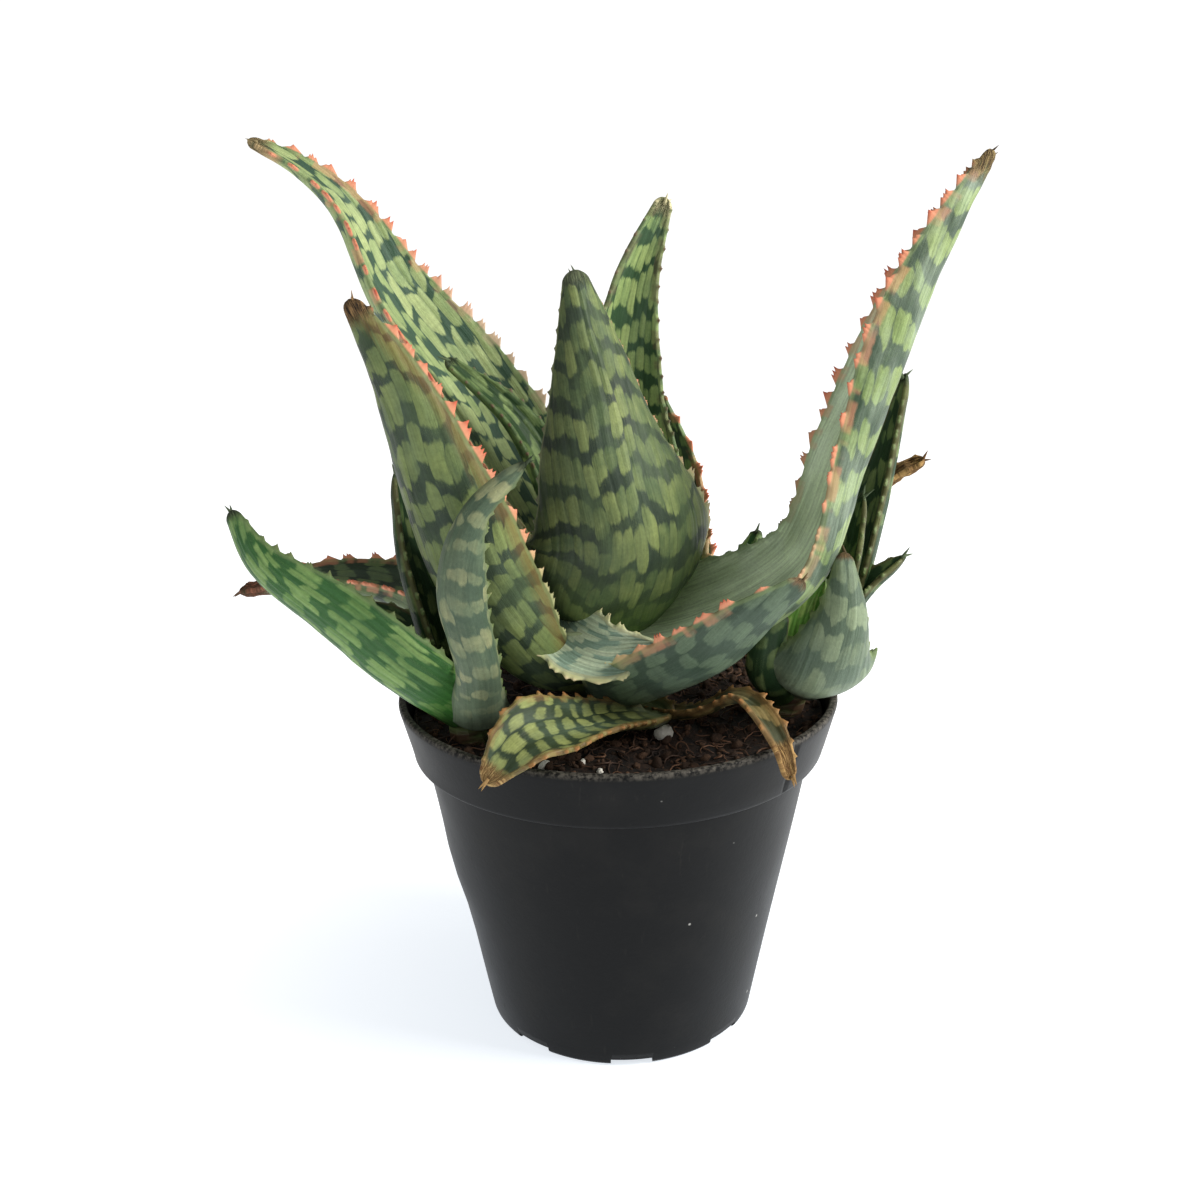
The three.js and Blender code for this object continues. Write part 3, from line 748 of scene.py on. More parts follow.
@dataclass(frozen=True)
class Leaf:
    """One leaf: a blade rolled about its middle line, with toothed margins.

    The points and sizes are those of the leaf's solid in the frame, in millimetres and degrees.
    """

    node: str
    slot: Slot
    path: Sequence[Sequence[float]]
    width: Sequence[float]
    curl: Sequence[float]
    face: Sequence[Sequence[float]]
    thick: Sequence[float]
    finish: LeafFinish
    near: Teeth = Teeth()
    far: Teeth = Teeth()
    crumple: float = 0.15
    spikes: int = 2
    point: float = 2.2
    seed: int = 1

    ROW = 0.3
    FACE_STEP = 1.0
    UNEVEN = 0.08
    SPIKE_RINGS = 5
    SPIKE_CORNERS = 6
    SPIKE_RADIUS = 0.42
    SPIKE_REACH = (2.4, 3.6)
    SPIKE_BEND = 0.4
    TIP_LEAST = 0.02

    def build(self) -> bpy.types.Object:
        """Makes the leaf's mesh, dresses it and puts it in its node's place.

        Returns:
            The leaf's object.
        """
        maker = Mesher()
        self.blade(maker)
        self.tip_spikes(maker)
        material = self.finish.material(self.node + "_skin", self.seed, self.near, self.far)
        return maker.build(self.node + "_blade", material, self.slot.value, [self.node])

    def rows(self) -> LeafRows:
        """Measures the leaf along its middle line.

        Returns:
            Its rows.
        """
        line = CentreLine(self.path)
        length = line.sample(np.zeros(1))[2]
        t = np.linspace(0, 1, int(length / self.ROW) + 1)
        middle, along, _ = line.sample(t)
        hint = smooth_run(self.face, t)
        inward = unit(hint - (hint * along).sum(1, keepdims=True) * along)
        s = t * length
        half = np.maximum(smooth_run(self.width, t), 1) / 2
        half *= 1 + self.UNEVEN * self.crumple * cloud(s / 4, s * 0, self.seed + 5)
        roll = np.radians(smooth_run(self.curl, t))
        thick = smooth_run(self.thick, t)
        return LeafRows(t, s, middle, along, np.cross(along, inward), inward, half, roll, thick)

    def blade(self, maker: Mesher) -> None:
        """Adds the blade with its teeth.

        Args:
            maker: The mesh that it goes into.
        """
        rng = np.random.default_rng(self.seed)
        rows = self.rows()
        s, t, half = rows.run, rows.share, rows.half
        columns = max(8, int(max(self.width) / self.FACE_STEP) // 2 * 2)
        u = np.linspace(-1, 1, columns + 1)
        inner, outer = (rows.face(u, self.relief(s, u, half, side), side) for side in (False, True))
        right, right_tooth = rows.rim(1.0, self.far.heights(s, t, rng), inner[:, -1], outer[:, -1])
        left, left_tooth = rows.rim(-1.0, self.near.heights(s, t, rng), inner[:, 0], outer[:, 0])
        loop = np.concatenate([inner, right, outer[:, ::-1], left[:, ::-1]], 1)
        spread = half * (half.max() / half) ** 0.35
        flat = np.zeros(inner.shape[:2])
        rim = np.zeros(right_tooth.shape)
        side = rim + spread[:, None]
        a = u[None, :] * spread[:, None]
        a = np.concatenate([a, side, a[:, ::-1], -side], 1)
        face = np.concatenate([flat, rim + 0.5, flat + 1, rim + 0.5], 1)
        gap = (1 - np.abs(u))[None, :] * half[:, None]
        gap = np.concatenate([gap, rim, gap[:, ::-1], rim], 1)
        tooth = np.concatenate([flat, right_tooth, flat, left_tooth[:, ::-1]], 1)
        centre = loop.mean(1, keepdims=True)
        ending = np.clip((s[-1] - s) / self.point, 0, 1)
        close = np.maximum(np.sqrt(1 - (1 - ending) ** 2), self.TIP_LEAST)
        loop = centre + (loop - centre) * close[:, None, None]
        long, share = (np.broadcast_to(value[:, None], a.shape) for value in (s, t))
        blade = np.stack([long, a, face], -1).reshape(-1, 3)
        margin = np.stack([gap, tooth, share], -1).reshape(-1, 3)
        maker.add(loop.reshape(-1, 3), tube_faces(*a.shape), blade=blade, margin=margin)

    def relief(self, s: Array, u: Array, half: Array, outer: bool) -> Array:
        """Gives the low relief of a face: soft dents and a crumpled dry tip.

        Args:
            s: The distance along the leaf of each row.
            u: The place across it of each column, -1 to 1.
            half: Half the leaf's width at each row.
            outer: Whether it is the outer face.

        Returns:
            The height of the relief, positive towards the inner side.
        """
        a = u[None, :] * half[:, None]
        long = np.broadcast_to(s[:, None], a.shape)
        seed = self.seed + 50 * outer
        dents = cloud(long / 9, a / 5 + 20, seed) + 0.5 * cloud(long / 3.5, a / 2.2 + 20, seed + 1)
        rest = 1 - u[None, :] ** 8
        dry = np.clip((long / s[-1] - self.finish.dry_from) / 0.04, 0, 1)
        crisp = cloud(long / 1.4, a / 1.6 + 9, seed + 2) * dry * 0.5
        return (dents * self.crumple + crisp) * rest * (-1 if outer else 1)

    def tip_spikes(self, maker: Mesher) -> None:
        """Adds a few thin spines that stand from the leaf's tip.

        Args:
            maker: The mesh that they go into.
        """
        rng = np.random.default_rng(self.seed + 900)
        ends, ways, length = CentreLine(self.path).sample(np.array([0.985, 1.0]))
        share = np.linspace(0, 1, self.SPIKE_RINGS)
        thickness = self.SPIKE_RADIUS * (1 - share) ** 0.8 + 0.03
        faces = tube_faces(self.SPIKE_RINGS, self.SPIKE_CORNERS)
        for _ in range(self.spikes):
            foot = ends[0] + rng.uniform(-0.5, 0.5, 3)
            way = unit(ways[1] + rng.uniform(-0.5, 0.5, 3))
            side = unit(np.cross(way, [0.3, 0.9, 0.2]))
            other = np.cross(way, side)
            reach = rng.uniform(*self.SPIKE_REACH)
            bend = other * (share**2 * self.SPIKE_BEND)[:, None]
            line = foot + way * (reach * share)[:, None] + bend
            points = tube_points(line, side[None], other[None], thickness, self.SPIKE_CORNERS)
            blade = np.tile([length, 0.0, 1.0], (len(points), 1))
            margin = np.tile([2.0, 2.0, 1.0], (len(points), 1))
            maker.add(points, faces, blade=blade, margin=margin)


@dataclass(frozen=True)
class PotFinish:
    """Black moulded plastic with dust, fine scratches and a paler, rougher band along the lip."""

    plastic: Colour = rgb(11, 12, 13)
    dust: Colour = rgb(128, 122, 112)
    speck: Colour = rgb(214, 212, 206)

    def material(self, lip: float) -> bpy.types.Material:
        """Makes the finish.

        Args:
            lip: The height of the pot's lip in metres.

        Returns:
            The material.
        """
        g = Graph("pot_plastic")
        at = g.place()
        height = g.add("ShaderNodeSeparateXYZ", {}, {0: at}, out=2)
        cloudy = g.noise(at, 60.0, 5.0, 0.6)
        fine = g.noise(at, 900.0, 4.0, 0.7)
        long = g.add("ShaderNodeMapping", {}, {"Vector": at, "Scale": (1.0, 1.0, 0.08)})
        scratch = g.noise(long, 700.0, 3.0, 0.6).rise(0.62, 0.78)
        # Paler lip: the top 1.6 mm of the pot is flecked towards the dust colour and made rougher.
        rim = height.rise(lip - 0.0016, lip - 0.0002)
        skin = g.mix(cloudy.rise(0.45, 0.8) * 0.025 + scratch * 0.03, self.plastic, self.dust)
        skin = g.mix(rim * fine.rise(0.35, 0.65) * 0.5, skin, self.dust)
        dots = g.add("ShaderNodeTexVoronoi", {}, {"Vector": at, "Scale": 130.0})
        pick = g.noise(at, 210.0, 0.0).rise(0.6, 0.66)
        skin = g.mix((1 - dots.rise(0.03, 0.07)) * pick * 0.7, skin, self.speck)
        rough = 0.34 + cloudy * 0.16 + rim * 0.2 + scratch * 0.1
        relief = fine * 0.25 + cloudy * 0.8
        return g.finish(
            Base_Color=skin, Roughness=rough, Normal=g.bump(relief, 0.00012), Specular_IOR_Level=0.13
        )


@dataclass(frozen=True)
class NurseryPot:
    """The thin pot: a tapered wall, an overhanging band at its rim and slots at its foot."""

    height: float = 84.5
    rim_radius: float = 53.0
    band_height: float = 14.0
    band_lower_radius: float = 49.7
    wall_top_radius: float = 46.9
    base_radius: float = 33.2
    wall: float = 1.3
    floor: float = 1.6
    lip: float = 1.1
    sides: int = 360
    step: float = 2.5
    round_over: float = 0.35
    slots: int = 8
    slot_width: float = 10.0
    slot_height: float = 1.8
    slot_inner_radius: float = 25.0
    slot_turn: float = 4.0
    groove_angle: float = -42.0
    groove_size: float = 0.55
    bulge_angle: float = 197.0
    bulge_height: float = 43.0
    bulge_depth: float = 0.7
    bulge_turn: float = 0.25
    bulge_reach: float = 9.0
    sway: float = 0.3
    finish: PotFinish = PotFinish()

    def inner_radius(self, z: float) -> float:
        """Gives the radius of the inner wall.

        Args:
            z: The height.

        Returns:
            The radius there.
        """
        shoulder = self.height - self.band_height
        if z < shoulder + self.wall:
            return self.base_radius + (self.wall_top_radius - self.base_radius) * z / shoulder - self.wall
        share = (z - shoulder) / self.band_height
        return self.band_lower_radius + (self.rim_radius - self.band_lower_radius) * share - self.wall

    def profile(self) -> Array:
        """Gives the section of the pot with its corners rounded.

        Returns:
            Rows of radius and height, from the middle of the foot round to the middle of the floor.
        """
        shoulder, top = self.height - self.band_height, self.height
        inside = shoulder + self.wall
        corners = np.array([
            (0, 0), (self.base_radius - 0.8, 0), (self.base_radius, 0.8), (self.wall_top_radius, shoulder),
            (self.band_lower_radius - 0.4, shoulder), (self.band_lower_radius, shoulder + 0.6),
            (self.rim_radius, top - self.lip), (self.rim_radius - 0.3, top),
            (self.rim_radius - self.wall - 0.4, top),
            (self.inner_radius(top - self.lip) - 0.5, top - self.lip),
            (self.inner_radius(inside + 1), inside + 0.4), (self.inner_radius(inside - 0.1), inside),
            (self.inner_radius(self.floor), self.floor), (0, self.floor),
        ])
        points = [corners[0]]
        for before, corner, after in zip(corners, corners[1:], corners[2:]):
            reach = [min(self.round_over, np.linalg.norm(side - corner) * 0.4) for side in (before, after)]
            start = corner + unit(before - corner) * reach[0]
            end = corner + unit(after - corner) * reach[1]
            middle = (start + 2 * corner + end) / 4
            count = max(1, int(np.linalg.norm(start - points[-1]) / self.step))
            points.extend(points[-1] + (start - points[-1]) * (k + 1) / count for k in range(count))
            points.extend([middle, end])
        count = int(np.linalg.norm(corners[-1] - points[-1]) / self.step)
        points.extend(points[-1] + (corners[-1] - points[-1]) * (k + 1) / count for k in range(count))
        return np.array(points)

    def build(self) -> bpy.types.Object:
        """Makes the pot, cuts its slots and dresses it.

        Returns:
            The pot's object.
        """
        profile = self.profile()[1:-1]
        angle = np.arange(self.sides) * 2 * np.pi / self.sides
        radius, height = profile[:, 0][:, None], profile[:, 1][:, None]
        outside = np.arange(len(profile))[:, None] < len(profile) * 0.5
        band = np.clip((height - (self.height - self.band_height) - 0.5) / 0.8, 0, 1)
        turn = turn_from(angle[None, :], self.groove_angle) * self.rim_radius
        groove = np.exp(-((turn / self.groove_size) ** 2)) * self.groove_size * band * outside
        sway = cloud(height / 26 + 3, np.cos(angle)[None, :] * 2 + 9, 7) * self.sway
        sway = sway * np.clip(height / 20, 0, 1)
        aside = turn_from(angle[None, :], self.bulge_angle) / self.bulge_turn
        above = (height - self.bulge_height) / self.bulge_reach
        bulge = np.exp(-(aside**2) - above**2) * self.bulge_depth
        radius = radius - groove + (sway + bulge) * (1 - band)
        z = np.broadcast_to(height, radius.shape)
        grid = np.stack([radius * np.cos(angle), radius * np.sin(angle), z], -1)
        maker = Mesher()
        ends = np.array([[0, 0, 0], [0, 0, self.floor]], float)
        last = grid.shape[0] * self.sides
        fan = []
        for j in range(self.sides):
            k = (j + 1) % self.sides
            fan.append((last, k, j))
            fan.append((last + 1, last - self.sides + j, last - self.sides + k))
        faces = ring_faces(grid.shape[0], self.sides) + fan
        maker.add(np.concatenate([grid.reshape(-1, 3), ends]), faces)
        pot = maker.build("nursery_pot", self.finish.material(self.height * MM), "pot_plastic", ["pot"])
        self.cut_slots(pot)
        return pot

    def cut_slots(self, pot: bpy.types.Object) -> None:
        """Cuts the drainage slots through the foot.

        Args:
            pot: The pot's object.
        """
        tool = bmesh.new()
        depth = self.base_radius + 4 - self.slot_inner_radius
        for i in range(self.slots):
            turn = Matrix.Rotation(math.radians(self.slot_turn) + 2 * math.pi * i / self.slots, 4, "Z")
            place = Matrix.Translation((0, -(self.slot_inner_radius + depth / 2) * MM, 0))
            size = Matrix.Diagonal((self.slot_width * MM, depth * MM, self.slot_height * 2 * MM, 1))
            bmesh.ops.create_cube(tool, size=1, matrix=turn @ place @ size)
        mesh = bpy.data.meshes.new("slot_cutter")
        tool.to_mesh(mesh)
        tool.free()
        cutter = place_object("slot_cutter", mesh)
        cut = pot.modifiers.new("slots", "BOOLEAN")
        cut.operation = "DIFFERENCE"
        cut.solver = "EXACT"
        cut.object = cutter
        depsgraph = bpy.context.evaluated_depsgraph_get()
        done = bpy.data.meshes.new_from_object(pot.evaluated_get(depsgraph))
        pot.modifiers.clear()
        pot.data = done
        bpy.data.objects.remove(cutter)


@dataclass(frozen=True)
class SoilFinish:
    """Dark damp compost."""

    deep: Colour = rgb(7, 5, 3)
    earth: Colour = rgb(48, 34, 26)
    chaff: Colour = rgb(116, 84, 60)

    def material(self, name: str, lightness: float = 0.0) -> bpy.types.Material:
        """Makes the finish.

        Args:
            name: The material's name.
            lightness: How far its colours lean to the chaff.

        Returns:
            The material.
        """
        g = Graph(name)
        at = g.place()
        shade, kind, _ = g.attribute("crumb")
        coarse = g.noise(at, 260.0, 4.0, 0.6)
        fine = g.noise(at, 1400.0, 4.0, 0.7)
        skin = g.mix(coarse.rise(0.35, 0.68), self.deep, self.earth)
        skin = g.mix((fine.rise(0.55, 0.75) * 0.5 + lightness).at_most(1.0), skin, self.chaff)
        skin = g.mix(kind, g.tint(skin, shade + 0.55), rgb(232, 228, 216))
        return g.finish(
            Base_Color=skin, Roughness=0.82 + (fine - 0.5) * 0.3,
            Normal=g.bump(coarse + fine * 0.5, 0.0009), Specular_IOR_Level=0.3,
        )


@dataclass(frozen=True)
class FibreFinish:
    """Reddish-brown coir."""

    dark: Colour = rgb(38, 24, 16)
    light: Colour = rgb(112, 78, 54)

    def material(self) -> bpy.types.Material:
        """Makes the finish.

        Returns:
            The material.
        """
        g = Graph("coir_fibre")
        shade, _, _ = g.attribute("crumb")
        grain = g.noise(g.place(), 900.0, 3.0)
        skin = g.mix((shade + (grain - 0.5) * 0.4).at_least(0.0), self.dark, self.light)
        return g.finish(Base_Color=skin, Roughness=0.7 + (grain - 0.5) * 0.2)


@dataclass(frozen=True)
class Soil:
    """The soil in the pot, with crumbs, a few white grains and curly fibres on its top."""

    pot: NurseryPot
    level: float = 78.0
    relief: float = 1.5
    clear: float = 0.7
    rings: int = 70
    sides: int = 220
    crumbs: int = 900
    crumb_least: float = 0.35
    crumb_more: float = 1.1
    fibres: int = 420
    seed: int = 23
    grains: Sequence[Sequence[float]] = (
        (10.4, -19.3, 2.2), (-8.1, -33.0, 1.0), (-22.0, -40.5, 1.2), (-4.1, -38.5, 0.8),
    )

    WHITE_SHARE = 0.012
    FIBRE_CORNERS = 5

    def top(self, x: Array, y: Array) -> Array:
        """Gives the height of the soil's top.

        Args:
            x: Places across the pot.
            y: Places from its front to its back.

        Returns:
            The height at each place.
        """
        reach = self.pot.inner_radius(self.level) - self.clear
        share = np.clip(np.hypot(x, y) / reach, 0, 1)
        rough = cloud(x / 11 + 30, y / 11 + 30, self.seed) * 0.5
        rough = rough + cloud(x / 4 + 30, y / 4 + 30, self.seed + 1) * 0.35
        rough = rough + cloud(x / 1.5 + 90, y / 1.5 + 90, self.seed + 2) * 0.22
        return self.level + share**2 * 1.2 + rough * self.relief * (1 - 0.5 * share**6)

    def build(self) -> list[bpy.types.Object]:
        """Makes the soil and what lies on it.

        Returns:
            The objects.
        """
        finish = SoilFinish()
        return [
            self.bed().build("soil_bed", finish.material("potting_soil"), "potting_soil", ["soil"]),
            self.scatter().build("soil_crumbs", finish.material("soil_crumb", 0.22), "potting_soil", []),
            self.coir().build("soil_fibres", FibreFinish().material(), "potting_soil", []),
        ]

    def bed(self) -> Mesher:
        """Makes the body of soil.

        Returns:
            Its mesh.
        """
        pot = self.pot
        shoulder = pot.height - pot.band_height
        shelf = shoulder + pot.wall + self.clear + 0.4
        foot = pot.floor + self.clear
        sides = [
            (0.05, foot), (pot.inner_radius(pot.floor) - self.clear, foot),
            (pot.inner_radius(shoulder) - self.clear, shoulder),
            (pot.inner_radius(shoulder) - self.clear, shelf),
            (pot.inner_radius(shelf) - self.clear, shelf + 0.3),
        ]
        angle = np.arange(self.sides) * 2 * np.pi / self.sides
        rows = [(np.full(self.sides, r), np.full(self.sides, z)) for r, z in sides]
        reach = pot.inner_radius(self.level) - self.clear
        for k in range(self.rings, 0, -1):
            r = np.full(self.sides, reach * (k / self.rings) ** 0.8)
            rows.append((r, self.top(r * np.cos(angle), r * np.sin(angle))))
        points = np.stack([np.stack([r * np.cos(angle), r * np.sin(angle), z], -1) for r, z in rows])
        maker = Mesher()
        crumb = np.tile([0.5, 0.0, 0.0], (points.shape[0] * self.sides, 1))
        maker.add(points.reshape(-1, 3), tube_faces(len(rows), self.sides), crumb=crumb)
        return maker

    def spot(self, rng: np.random.Generator) -> tuple[float, float]:
        """Draws a place on the soil's top.

        Args:
            rng: The source of random draws.

        Returns:
            Its place across and from front to back.
        """
        reach = self.pot.inner_radius(self.level) - 1.8
        r, angle = reach * rng.uniform(0.05, 1) ** 0.5, rng.uniform(0, 2 * np.pi)
        return r * math.cos(angle), r * math.sin(angle)

    def scatter(self) -> Mesher:
        """Makes the crumbs and the white grains.

        Returns:
            Their mesh.
        """
        rng = np.random.default_rng(self.seed)
        ball = bmesh.new()
        bmesh.ops.create_icosphere(ball, subdivisions=2, radius=1)
        shape = np.array([v.co for v in ball.verts])
        faces = [tuple(v.index for v in f.verts) for f in ball.faces]
        ball.free()
        maker = Mesher()
        for _ in range(self.crumbs):
            x, y = self.spot(rng)
            size = self.crumb_least + self.crumb_more * rng.uniform() ** 3
            white = 1.0 if rng.uniform() < self.WHITE_SHARE else 0.0
            self.crumb(maker, rng, shape, faces, (x, y, size, white))
        for x, y, size in self.grains:
            self.crumb(maker, rng, shape, faces, (x, y, size, 1.0))
        return maker

    def crumb(
        self, maker: Mesher, rng: np.random.Generator, shape: Array, faces: Sequence[Sequence[int]],
        where: tuple[float, float, float, float],
    ) -> None:
        """Adds one crumb.

        Args:
            maker: The mesh that it goes into.
            rng: The source of random draws.
            shape: The points of a unit ball.
            faces: The ball's faces.
            where: Its place across and from front to back, its size, and 1 for a white grain.
        """
        x, y, size, white = where
        seed = int(rng.integers(1000))
        lump = 1 + 0.35 * cloud(shape[:, 0] * 1.6 + 5, shape[:, 1] * 1.6 + shape[:, 2] * 2.1 + 9, seed)
        stretch = rng.uniform(0.6, 1.25, 3)
        points = shape * lump[:, None] * stretch * size
        turn = np.array(Matrix.Rotation(rng.uniform(0, 6.28), 3, Vector(rng.normal(size=3)).normalized()))
        points = points @ turn.T
        z = float(self.top(np.array([x]), np.array([y]))[0])
        points = points + [x, y, z + size * 0.3]
        crumb = np.tile([rng.uniform(), white, 0.0], (len(points), 1))
        maker.add(points, faces, crumb=crumb)

    def coir(self) -> Mesher:
        """Makes the curly fibres.

        Returns:
            Their mesh.
        """
        rng = np.random.default_rng(self.seed + 1)
        maker = Mesher()
        for _ in range(self.fibres):
            x, y = self.spot(rng)
            steps = int(rng.integers(7, 15))
            heading, curl = rng.uniform(0, 2 * np.pi), rng.normal(0, 0.42)
            arch = rng.uniform(0, 1.5) if rng.uniform() < 0.35 else 0.25
            heading += np.cumsum(np.full(steps, curl) + rng.normal(0, 0.25, steps))
            stride = rng.uniform(0.5, 1.0)
            ways = np.stack([np.cos(heading), np.sin(heading)], 1)
            path = np.array([x, y]) + np.cumsum(ways, 0) * stride
            reach = self.pot.inner_radius(self.level) - 1.2
            far = np.maximum(np.hypot(path[:, 0], path[:, 1]) / reach, 1)
            path = path / far[:, None]
            rise = np.sin(np.linspace(0, np.pi, steps)) * arch
            line = np.column_stack([path, self.top(path[:, 0], path[:, 1]) + 0.15 + rise])
            ways = unit(np.gradient(line, axis=0) + 1e-9)
            side = unit(np.cross(ways, [0.01, 0.02, 1.0]))
            thickness = rng.uniform(0.1, 0.24) * np.sin(np.linspace(0.5, np.pi - 0.3, steps))
            points = tube_points(line, side, np.cross(ways, side), thickness, self.FIBRE_CORNERS)
            crumb = np.tile([rng.uniform(), 0.0, 0.0], (len(points), 1))
            maker.add(points, tube_faces(steps, self.FIBRE_CORNERS), crumb=crumb)
        return maker


@dataclass(frozen=True)
class StemFinish:
    """Pale green stem tissue with brown leaf scars."""

    green: Colour = rgb(104, 120, 70)
    scar: Colour = rgb(84, 62, 40)

    def dress(self, names: Sequence[str]) -> None:
        """Gives the frame's own stems their finish.

        Args:
            names: The nodes.
        """
        g = Graph("stem_tissue")
        at = g.place()
        rings = g.add("ShaderNodeMapping", {}, {"Vector": at, "Scale": (0.2, 0.2, 1.0)})
        scar = g.noise(rings, 300.0, 3.0).rise(0.45, 0.62)
        grain = g.noise(at, 900.0, 4.0)
        skin = g.mix(scar, self.green, self.scar)
        rough = 0.6 + (grain - 0.5) * 0.3
        material = g.finish(Base_Color=skin, Roughness=rough, Normal=g.bump(scar + grain * 0.4, 0.0004))
        for name in names:
            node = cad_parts[name]
            node.data.materials.clear()
            node.data.materials.append(material)


TEETH = Teeth()
LITTLE_TEETH = Teeth(
    (0.7, 0.9, 0.9, 0.7), 4.2, 1.7, 1, gum=rgb(112, 96, 74), cusp=rgb(92, 72, 58),
    gum_low=rgb(110, 116, 80), cusp_low=rgb(150, 136, 100),
)
CREAM_TEETH = Teeth(
    (1.6, 2.3, 2.0, 1.2), 4.6, 3.4, 2, gum=rgb(196, 196, 146), cusp=rgb(224, 206, 160),
    gum_low=rgb(180, 190, 136), cusp_low=rgb(226, 214, 170),
)
PUP_TEETH = replace(
    CREAM_TEETH, height=(0.9, 1.3, 1.3, 0.8), spacing=4.2, width=2.0, gum=rgb(112, 126, 80),
    cusp=rgb(176, 172, 122), gum_low=rgb(104, 122, 76), cusp_low=rgb(176, 180, 128),
)
BROWN_TEETH = replace(
    PUP_TEETH, gum=rgb(148, 108, 64), cusp=rgb(204, 112, 72), gum_low=rgb(124, 100, 58),
    cusp_low=rgb(190, 122, 78),
)

SKIN = LeafFinish()
CENTRE_SKIN = replace(
    SKIN, dark=rgb(52, 64, 52), light=rgb(138, 150, 92), seam=rgb(86, 104, 68), base=rgb(92, 118, 56),
    bloom=rgb(92, 110, 86), column=2.4, cell=8.8, fade=(0.02, 0.36), margin=rgb(150, 154, 110), seams=0.4,
    dry_from=0.972, dry=rgb(122, 132, 98), dry_dark=rgb(84, 92, 72), waxy=0.35, gap=0.34, jag=0.36,
    painted_side_shade=0.45, motley=1.5, haze=0.75,
)
UPPER_LEFT_SKIN = replace(
    SKIN, dark=rgb(62, 88, 70), light=rgb(180, 194, 134), seam=rgb(130, 154, 100),
    base=rgb(150, 172, 110), bloom=rgb(132, 158, 132), column=3.0, cell=11.5, waxy=0.16, dry_from=0.975,
    dry=rgb(196, 170, 124), dry_dark=rgb(80, 84, 60), seams=0.45, slim=0.6, gap=0.27, jag=0.7, blush=0.4,
    uneven=1.0,
)
FRONT_LEFT_SKIN = replace(
    SKIN, dark=rgb(44, 58, 44), light=rgb(128, 142, 84), seam=rgb(80, 98, 62), base=rgb(90, 106, 78),
    haze=0.6, bloom=rgb(100, 118, 100), column=2.7, cell=10.5, waxy=0.35, painted_side_shade=0.25, stripe=0.45,
    dry_from=0.962, dry=rgb(150, 118, 78), dry_dark=rgb(38, 30, 22), fade=(0, 0.1), jag=0.5, gap=0.36,
)
# The pale base and bloom are partly the inner face's own glaucous colour and partly painted light, raised
# to offset the shade on that face.
LONG_RIGHT_SKIN = replace(
    SKIN, dark=rgb(58, 76, 58), light=rgb(130, 148, 88), seam=rgb(100, 122, 74), base=rgb(214, 232, 194),
    bloom=rgb(214, 230, 206), column=3.2, cell=10.5, inner=0.12, waxy=0.35, streak=0.5, dry_from=0.965,
    fade=(0.1, 0.3), seams=0.6, slim=0.6, gap=0.42, jag=0.6, blush=0.4, dry=rgb(160, 138, 92),
)
BACK_SKIN = replace(
    SKIN, dark=rgb(54, 82, 52), light=rgb(166, 186, 116), seam=rgb(106, 134, 82), column=2.2, cell=9.0,
    gap=0.34, seams=0.7, slim=0.55, jag=0.8, blush=0.45, dry_from=0.97, dry=rgb(214, 204, 160),
    dry_dark=rgb(120, 130, 90),
)
WIDE_SKIN = replace(
    BACK_SKIN, dark=rgb(42, 62, 44), light=rgb(120, 142, 84), cell=9.5, gap=0.55, dry=rgb(150, 110, 80),
)
GLAUCOUS_SKIN = replace(
    SKIN, dark=rgb(60, 76, 62), light=rgb(96, 114, 90), seam=rgb(78, 94, 76), base=rgb(104, 122, 98),
    bloom=rgb(106, 124, 108), waxy=0.4, dry_from=0.985, seams=0.3, column=3.2, cell=10.0, blush=0.45,
    dry=rgb(136, 110, 76), dry_dark=rgb(74, 66, 46),
)
LOW_LEFT_SKIN = replace(
    GLAUCOUS_SKIN, dark=rgb(44, 58, 42), light=rgb(98, 114, 72), dry=rgb(160, 104, 82), seams=0.7,
    cell=9.0, dry_from=0.93,
)
PALE_SKIN = replace(
    SKIN, dark=rgb(128, 152, 134), light=rgb(190, 202, 172), seam=rgb(150, 170, 144),
    base=rgb(160, 182, 156), bloom=rgb(168, 188, 170), column=1.2, cell=13.0, streak=0.5,
    margin=rgb(186, 178, 128), dry_from=0.99, seams=0.3, jag=0.8,
)
FRONT_PUP_SKIN = replace(
    PALE_SKIN, dark=rgb(72, 90, 72), light=rgb(150, 152, 112), seam=rgb(104, 118, 90),
    base=rgb(124, 140, 116), bloom=rgb(108, 124, 106), column=2.8, cell=7.5, gap=0.58, jag=1.3,
    streak=0.3, dry_from=0.985, uneven=1.5, motley=1.4, haze=0.6, dry=rgb(70, 84, 60),
    dry_dark=rgb(44, 56, 40), margin=rgb(120, 132, 92),
)
FRESH_SKIN = replace(
    SKIN, dark=rgb(50, 94, 46), light=rgb(128, 158, 92), seam=rgb(84, 124, 62), base=rgb(62, 118, 48),
    bloom=rgb(88, 118, 84), column=1.4, cell=13.0, waxy=0.25, dry_from=0.975, dry=rgb(96, 110, 80),
    dry_dark=rgb(52, 64, 46), seams=0.7, slim=0.4, jag=1.0, gap=0.5, uneven=0.9,
)
DEEP_SKIN = replace(
    FRESH_SKIN, dark=rgb(38, 62, 36), light=rgb(118, 134, 84), seam=rgb(58, 84, 46),
    base=rgb(72, 100, 50), bloom=rgb(64, 88, 60), margin=rgb(104, 92, 58), gap=0.58, column=2.4,
    cell=10.0, jag=1.0, motley=1.4,
)
OVER_RIM_SKIN = replace(
    SKIN, dark=rgb(46, 58, 36), light=rgb(150, 158, 94), seam=rgb(112, 120, 70), motley=1.4, column=3.8,
    cell=5.6, gap=0.4, jag=1.0, margin=rgb(126, 96, 54), dry=rgb(182, 152, 100),
    dry_dark=rgb(120, 88, 54), dry_from=0.955, base=rgb(76, 88, 52), fade=(0.2, 0.5), seams=0.9, slim=0.6,
    blush=0.3, roundness=0.5,
)
